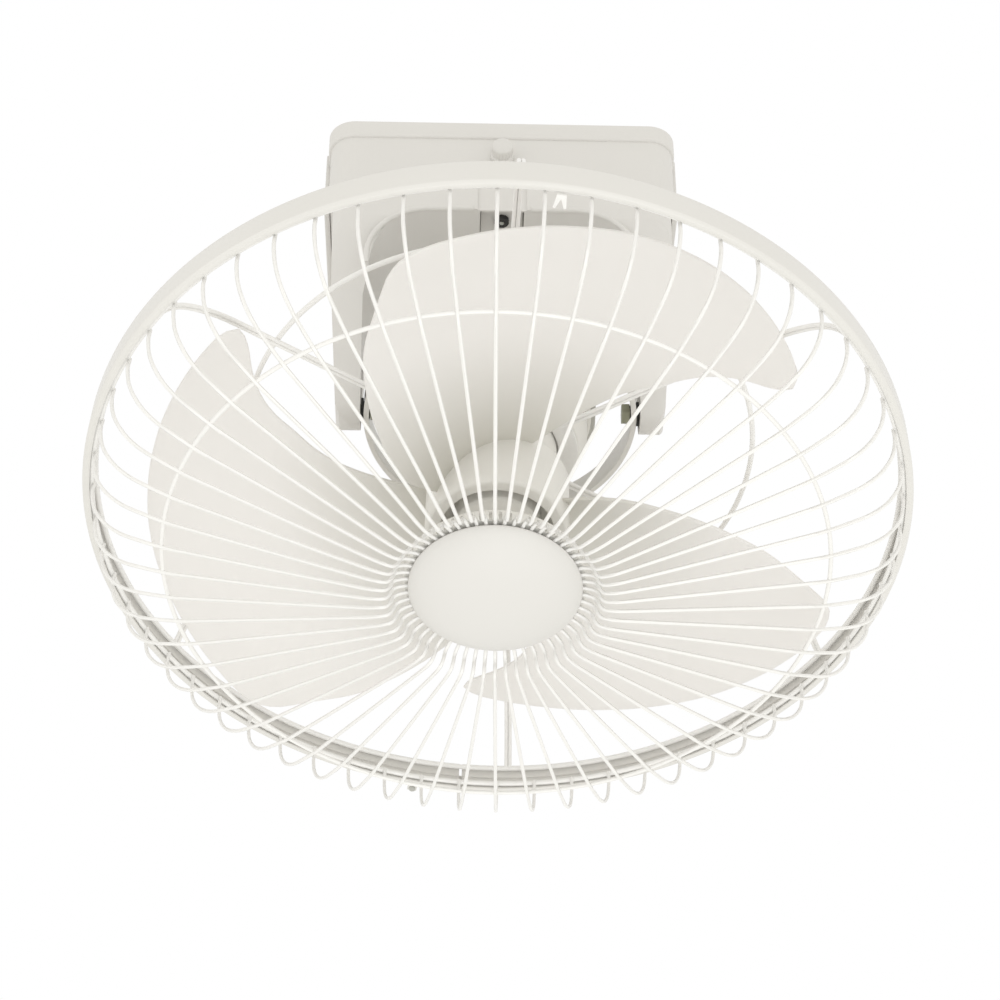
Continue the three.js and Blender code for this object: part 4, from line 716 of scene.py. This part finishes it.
for v in bm.verts:
    u, w = v.co.x + 0.5, v.co.y + 0.5
    i, j = round(u * ACROSS), round(w * OUT)
    spot = (edges[0][i] * (1 - w) + edges[1][i] * w + edges[2][j] * (1 - u) + edges[3][j] * u
            - edges[0][0] * (1 - u) * (1 - w) - edges[0][-1] * u * (1 - w)
            - edges[1][0] * (1 - u) * w - edges[1][-1] * u * w) * 1000
    r, t = hypot(spot.x, spot.y) / GUARD_RADIUS, degrees(atan2(spot.y, spot.x)) / 60
    rise = 0.045 + 0.149 * t + 0.241 * (r - 0.6) * t - 0.138 * (r - 0.6) - 0.058 * t * t
    v.co = (spot.x, spot.y, BLADE_PLANE + GUARD_RADIUS * rise)
    # Share of the root, fading out beyond the hub: painted shade there and less light let through.
    v[root_shade_and_thickness] = max(0, 1 - (r - 0.17) / 0.42) ** 1.5
bmesh.ops.recalc_face_normals(bm, faces=bm.faces)
bmesh.ops.solidify(bm, geom=bm.faces[:], thickness=1.8)
round_edges(bm, 0.6, 50, 3)
bmesh.ops.spin(bm, geom=bm.verts[:] + bm.edges[:] + bm.faces[:], cent=(0, 0, 0), axis=(0, 0, 1),
               angle=tau * (BLADES - 1) / BLADES, steps=BLADES - 1, use_duplicate=True)
blades = finished("swept_blades", bm, ROTOR @ MM, "rotor", blade_resin, 60)
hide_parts("impeller")

# ---- Plated steel: ceiling plate, bracket, strap, screws, shaft and bearings ----
# Pressed or turned steel with a thin zinc coat: dull, slightly mottled, with fine marks of rolling.


def dress(look, *nodes):
    """Gives CAD nodes that keep their own shape this material."""
    for node in nodes:
        for place in bpy.data.objects[node].material_slots:
            place.material = look


zinc_coat, shade = material("zinc_coat")
spangle = shade.node("TexVoronoi", sockets={
    "Vector": shade.node("TexCoord", out="Object"), "Scale": 260.0}, out=0)
haze = shade.grain(0.012, 3)
surface(shade, {"Metallic": 0.9},
        {"Base Color": haze.blend((0.50, 0.50, 0.47), (0.66, 0.66, 0.63)),
         "Roughness": 0.30 + haze * 0.16 + spangle * 0.1},
        shade.grain(0.0008, 2), 0.00005, 0.35)
dress(zinc_coat, "ceiling_plate", "base_frame", "catch_pin", "motor_yoke", "bearing_front",
      "bearing_rear", "swing_motor", "guard_screw_1", "guard_screw_2", "guard_screw_3",
      "clasp_pin", "cap_screw", "rotor_core", "shaft", "crank_stud")

# ---- Dark steel: pivot bolts and nuts, stator and capacitor case ----
# Passivated hex hardware with a greenish cast, worn a little lighter in patches.
dark_coat, shade = material("dark_coat")
wear = shade.grain(0.004, 4)
surface(shade, {"Metallic": 0.4},
        {"Base Color": wear.blend((0.24, 0.24, 0.17), (0.40, 0.40, 0.31)),
         "Roughness": 0.38 + wear * 0.2},
        shade.grain(0.0007, 2), 0.00006, 0.4)
dress(dark_coat, "frame_screw_1", "frame_screw_2", "pivot_bolt_left", "pivot_bolt_right",
      "pivot_nut_left", "pivot_nut_right", "head_bolt_front", "head_bolt_rear", "stator_core",
      "run_capacitor")

# ---- Rubber: bushes of the pivots and of the catch, seat cup, gland and grommet ----
# Moulded black rubber, matt, with a dusty bloom.
rubber, shade = material("rubber")
bloom = shade.grain(0.003, 3)
surface(shade, {"IOR": 1.5},
        {"Base Color": bloom.blend((0.018, 0.018, 0.017), (0.045, 0.044, 0.042)),
         "Roughness": 0.6 + bloom * 0.2},
        shade.grain(0.0005, 2), 0.00005, 0.5)
dress(rubber, "catch_bush", "seat_bush", "cable_gland", "pivot_bush_left", "pivot_bush_right",
      "head_bush_front", "head_bush_rear", "lead_grommet")

# ---- Windings: varnished copper wire, laid turn on turn round the stator's teeth ----
# Fine even ridges with the varnish darker between them.
wound, shade = material("wound_copper")
turns = shade.node("TexWave", {"bands_direction": "Z"}, {
    "Vector": shade.node("TexCoord", out="Object"), "Scale": 380.0, "Distortion": 1.2,
    "Detail": 1.0}, out=1)
surface(shade, {"Metallic": 0.85, "Coat Roughness": 0.15},
        {"Base Color": turns.blend((0.30, 0.11, 0.04), (0.62, 0.27, 0.12)),
         "Roughness": 0.28 + turns * 0.12, "Coat Weight": 0.4 + turns * 0.2},
        turns, 0.00015, 0.6)
dress(wound, "winding_front", "winding_rear")

# ---- Nylon: terminal block, lead clip and crank disc ----
# Natural moulded nylon, cloudy and slightly waxy.
nylon, shade = material("natural_nylon")
cloud = shade.grain(0.008, 3)
surface(shade, {"IOR": 1.53, "Subsurface Weight": 0.1, "Subsurface Scale": 0.002},
        {"Base Color": cloud.blend((0.72, 0.70, 0.62), (0.80, 0.78, 0.71)),
         "Roughness": 0.42 + cloud * 0.12},
        shade.grain(0.0009, 2), 0.00005, 0.3)
dress(nylon, "terminal_block", "lead_clip", "crank_disc")
dress(ivory_resin, "cover_catch")
dress(ivory_coat, "clasp_lug", "clasp_lever")
dress(wire_dip, "guard_clip")
dress(grey_paint, "seat_post", "blade_nut")

# ---- Stage: a plain pale floor under the room, soft lamps and an even white surround ----
# One broad lamp stands in front of the fan and below it, a second fills from the left, a third
# shines up from just over the floor, and what the camera sees beyond the fan is white.
FLOOR = -2.3
FAN_MIDDLE = Vector((0, 0, -0.2))
bm = bmesh.new()
bmesh.ops.create_grid(bm, x_segments=2, y_segments=2, size=4)
pale_floor, shade = material("pale_floor")
dust = shade.grain(0.4, 2)
surface(shade, {"Roughness": 0.8},
        {"Base Color": dust.blend((0.82, 0.82, 0.81), (0.86, 0.86, 0.85))})
floor = finished("floor", bm, Matrix.Translation((0, 0, FLOOR)), None, pale_floor)

world = bpy.data.worlds.new("surround")
world.use_nodes = True
bpy.context.scene.world = world
world.node_tree.nodes.clear()
sky = Shade(world.node_tree)
seen = sky.node("LightPath", out="Is Camera Ray")
glossy = sky.node("LightPath", out="Is Glossy Ray")
through = sky.node("LightPath", out="Is Transmission Ray")
white = sky.maths("MINIMUM", seen + glossy + through, 1.0)
glow = sky.node("Background", sockets={
    "Color": white.blend((0.965, 0.95, 0.905), (1, 1, 1)), "Strength": 1.0})
sky.node("OutputWorld", sockets={"Surface": glow})


def lamp(name, place, size, watts):
    """A soft round lamp turned to the middle of the fan."""
    light = bpy.data.lights.new(name, "AREA")
    light.shape = "DISK"
    light.size = size
    light.energy = watts
    light.color = (0.95, 0.975, 1)
    holder = bpy.data.objects.new(name, light)
    holder.location = place
    holder.rotation_euler = (FAN_MIDDLE - Vector(place)).to_track_quat("-Z", "Y").to_euler()
    bpy.context.collection.objects.link(holder)


lamp("key_lamp", (0.35, -1.55, -1.5), 1.1, 4.6)
lamp("fill_lamp", (-1.4, -1.0, -0.5), 0.8, 1.0)
lamp("low_lamp", (0.15, -0.35, -2.1), 1.4, 8.2)

bpy.context.scene.view_settings.view_transform = "Standard"
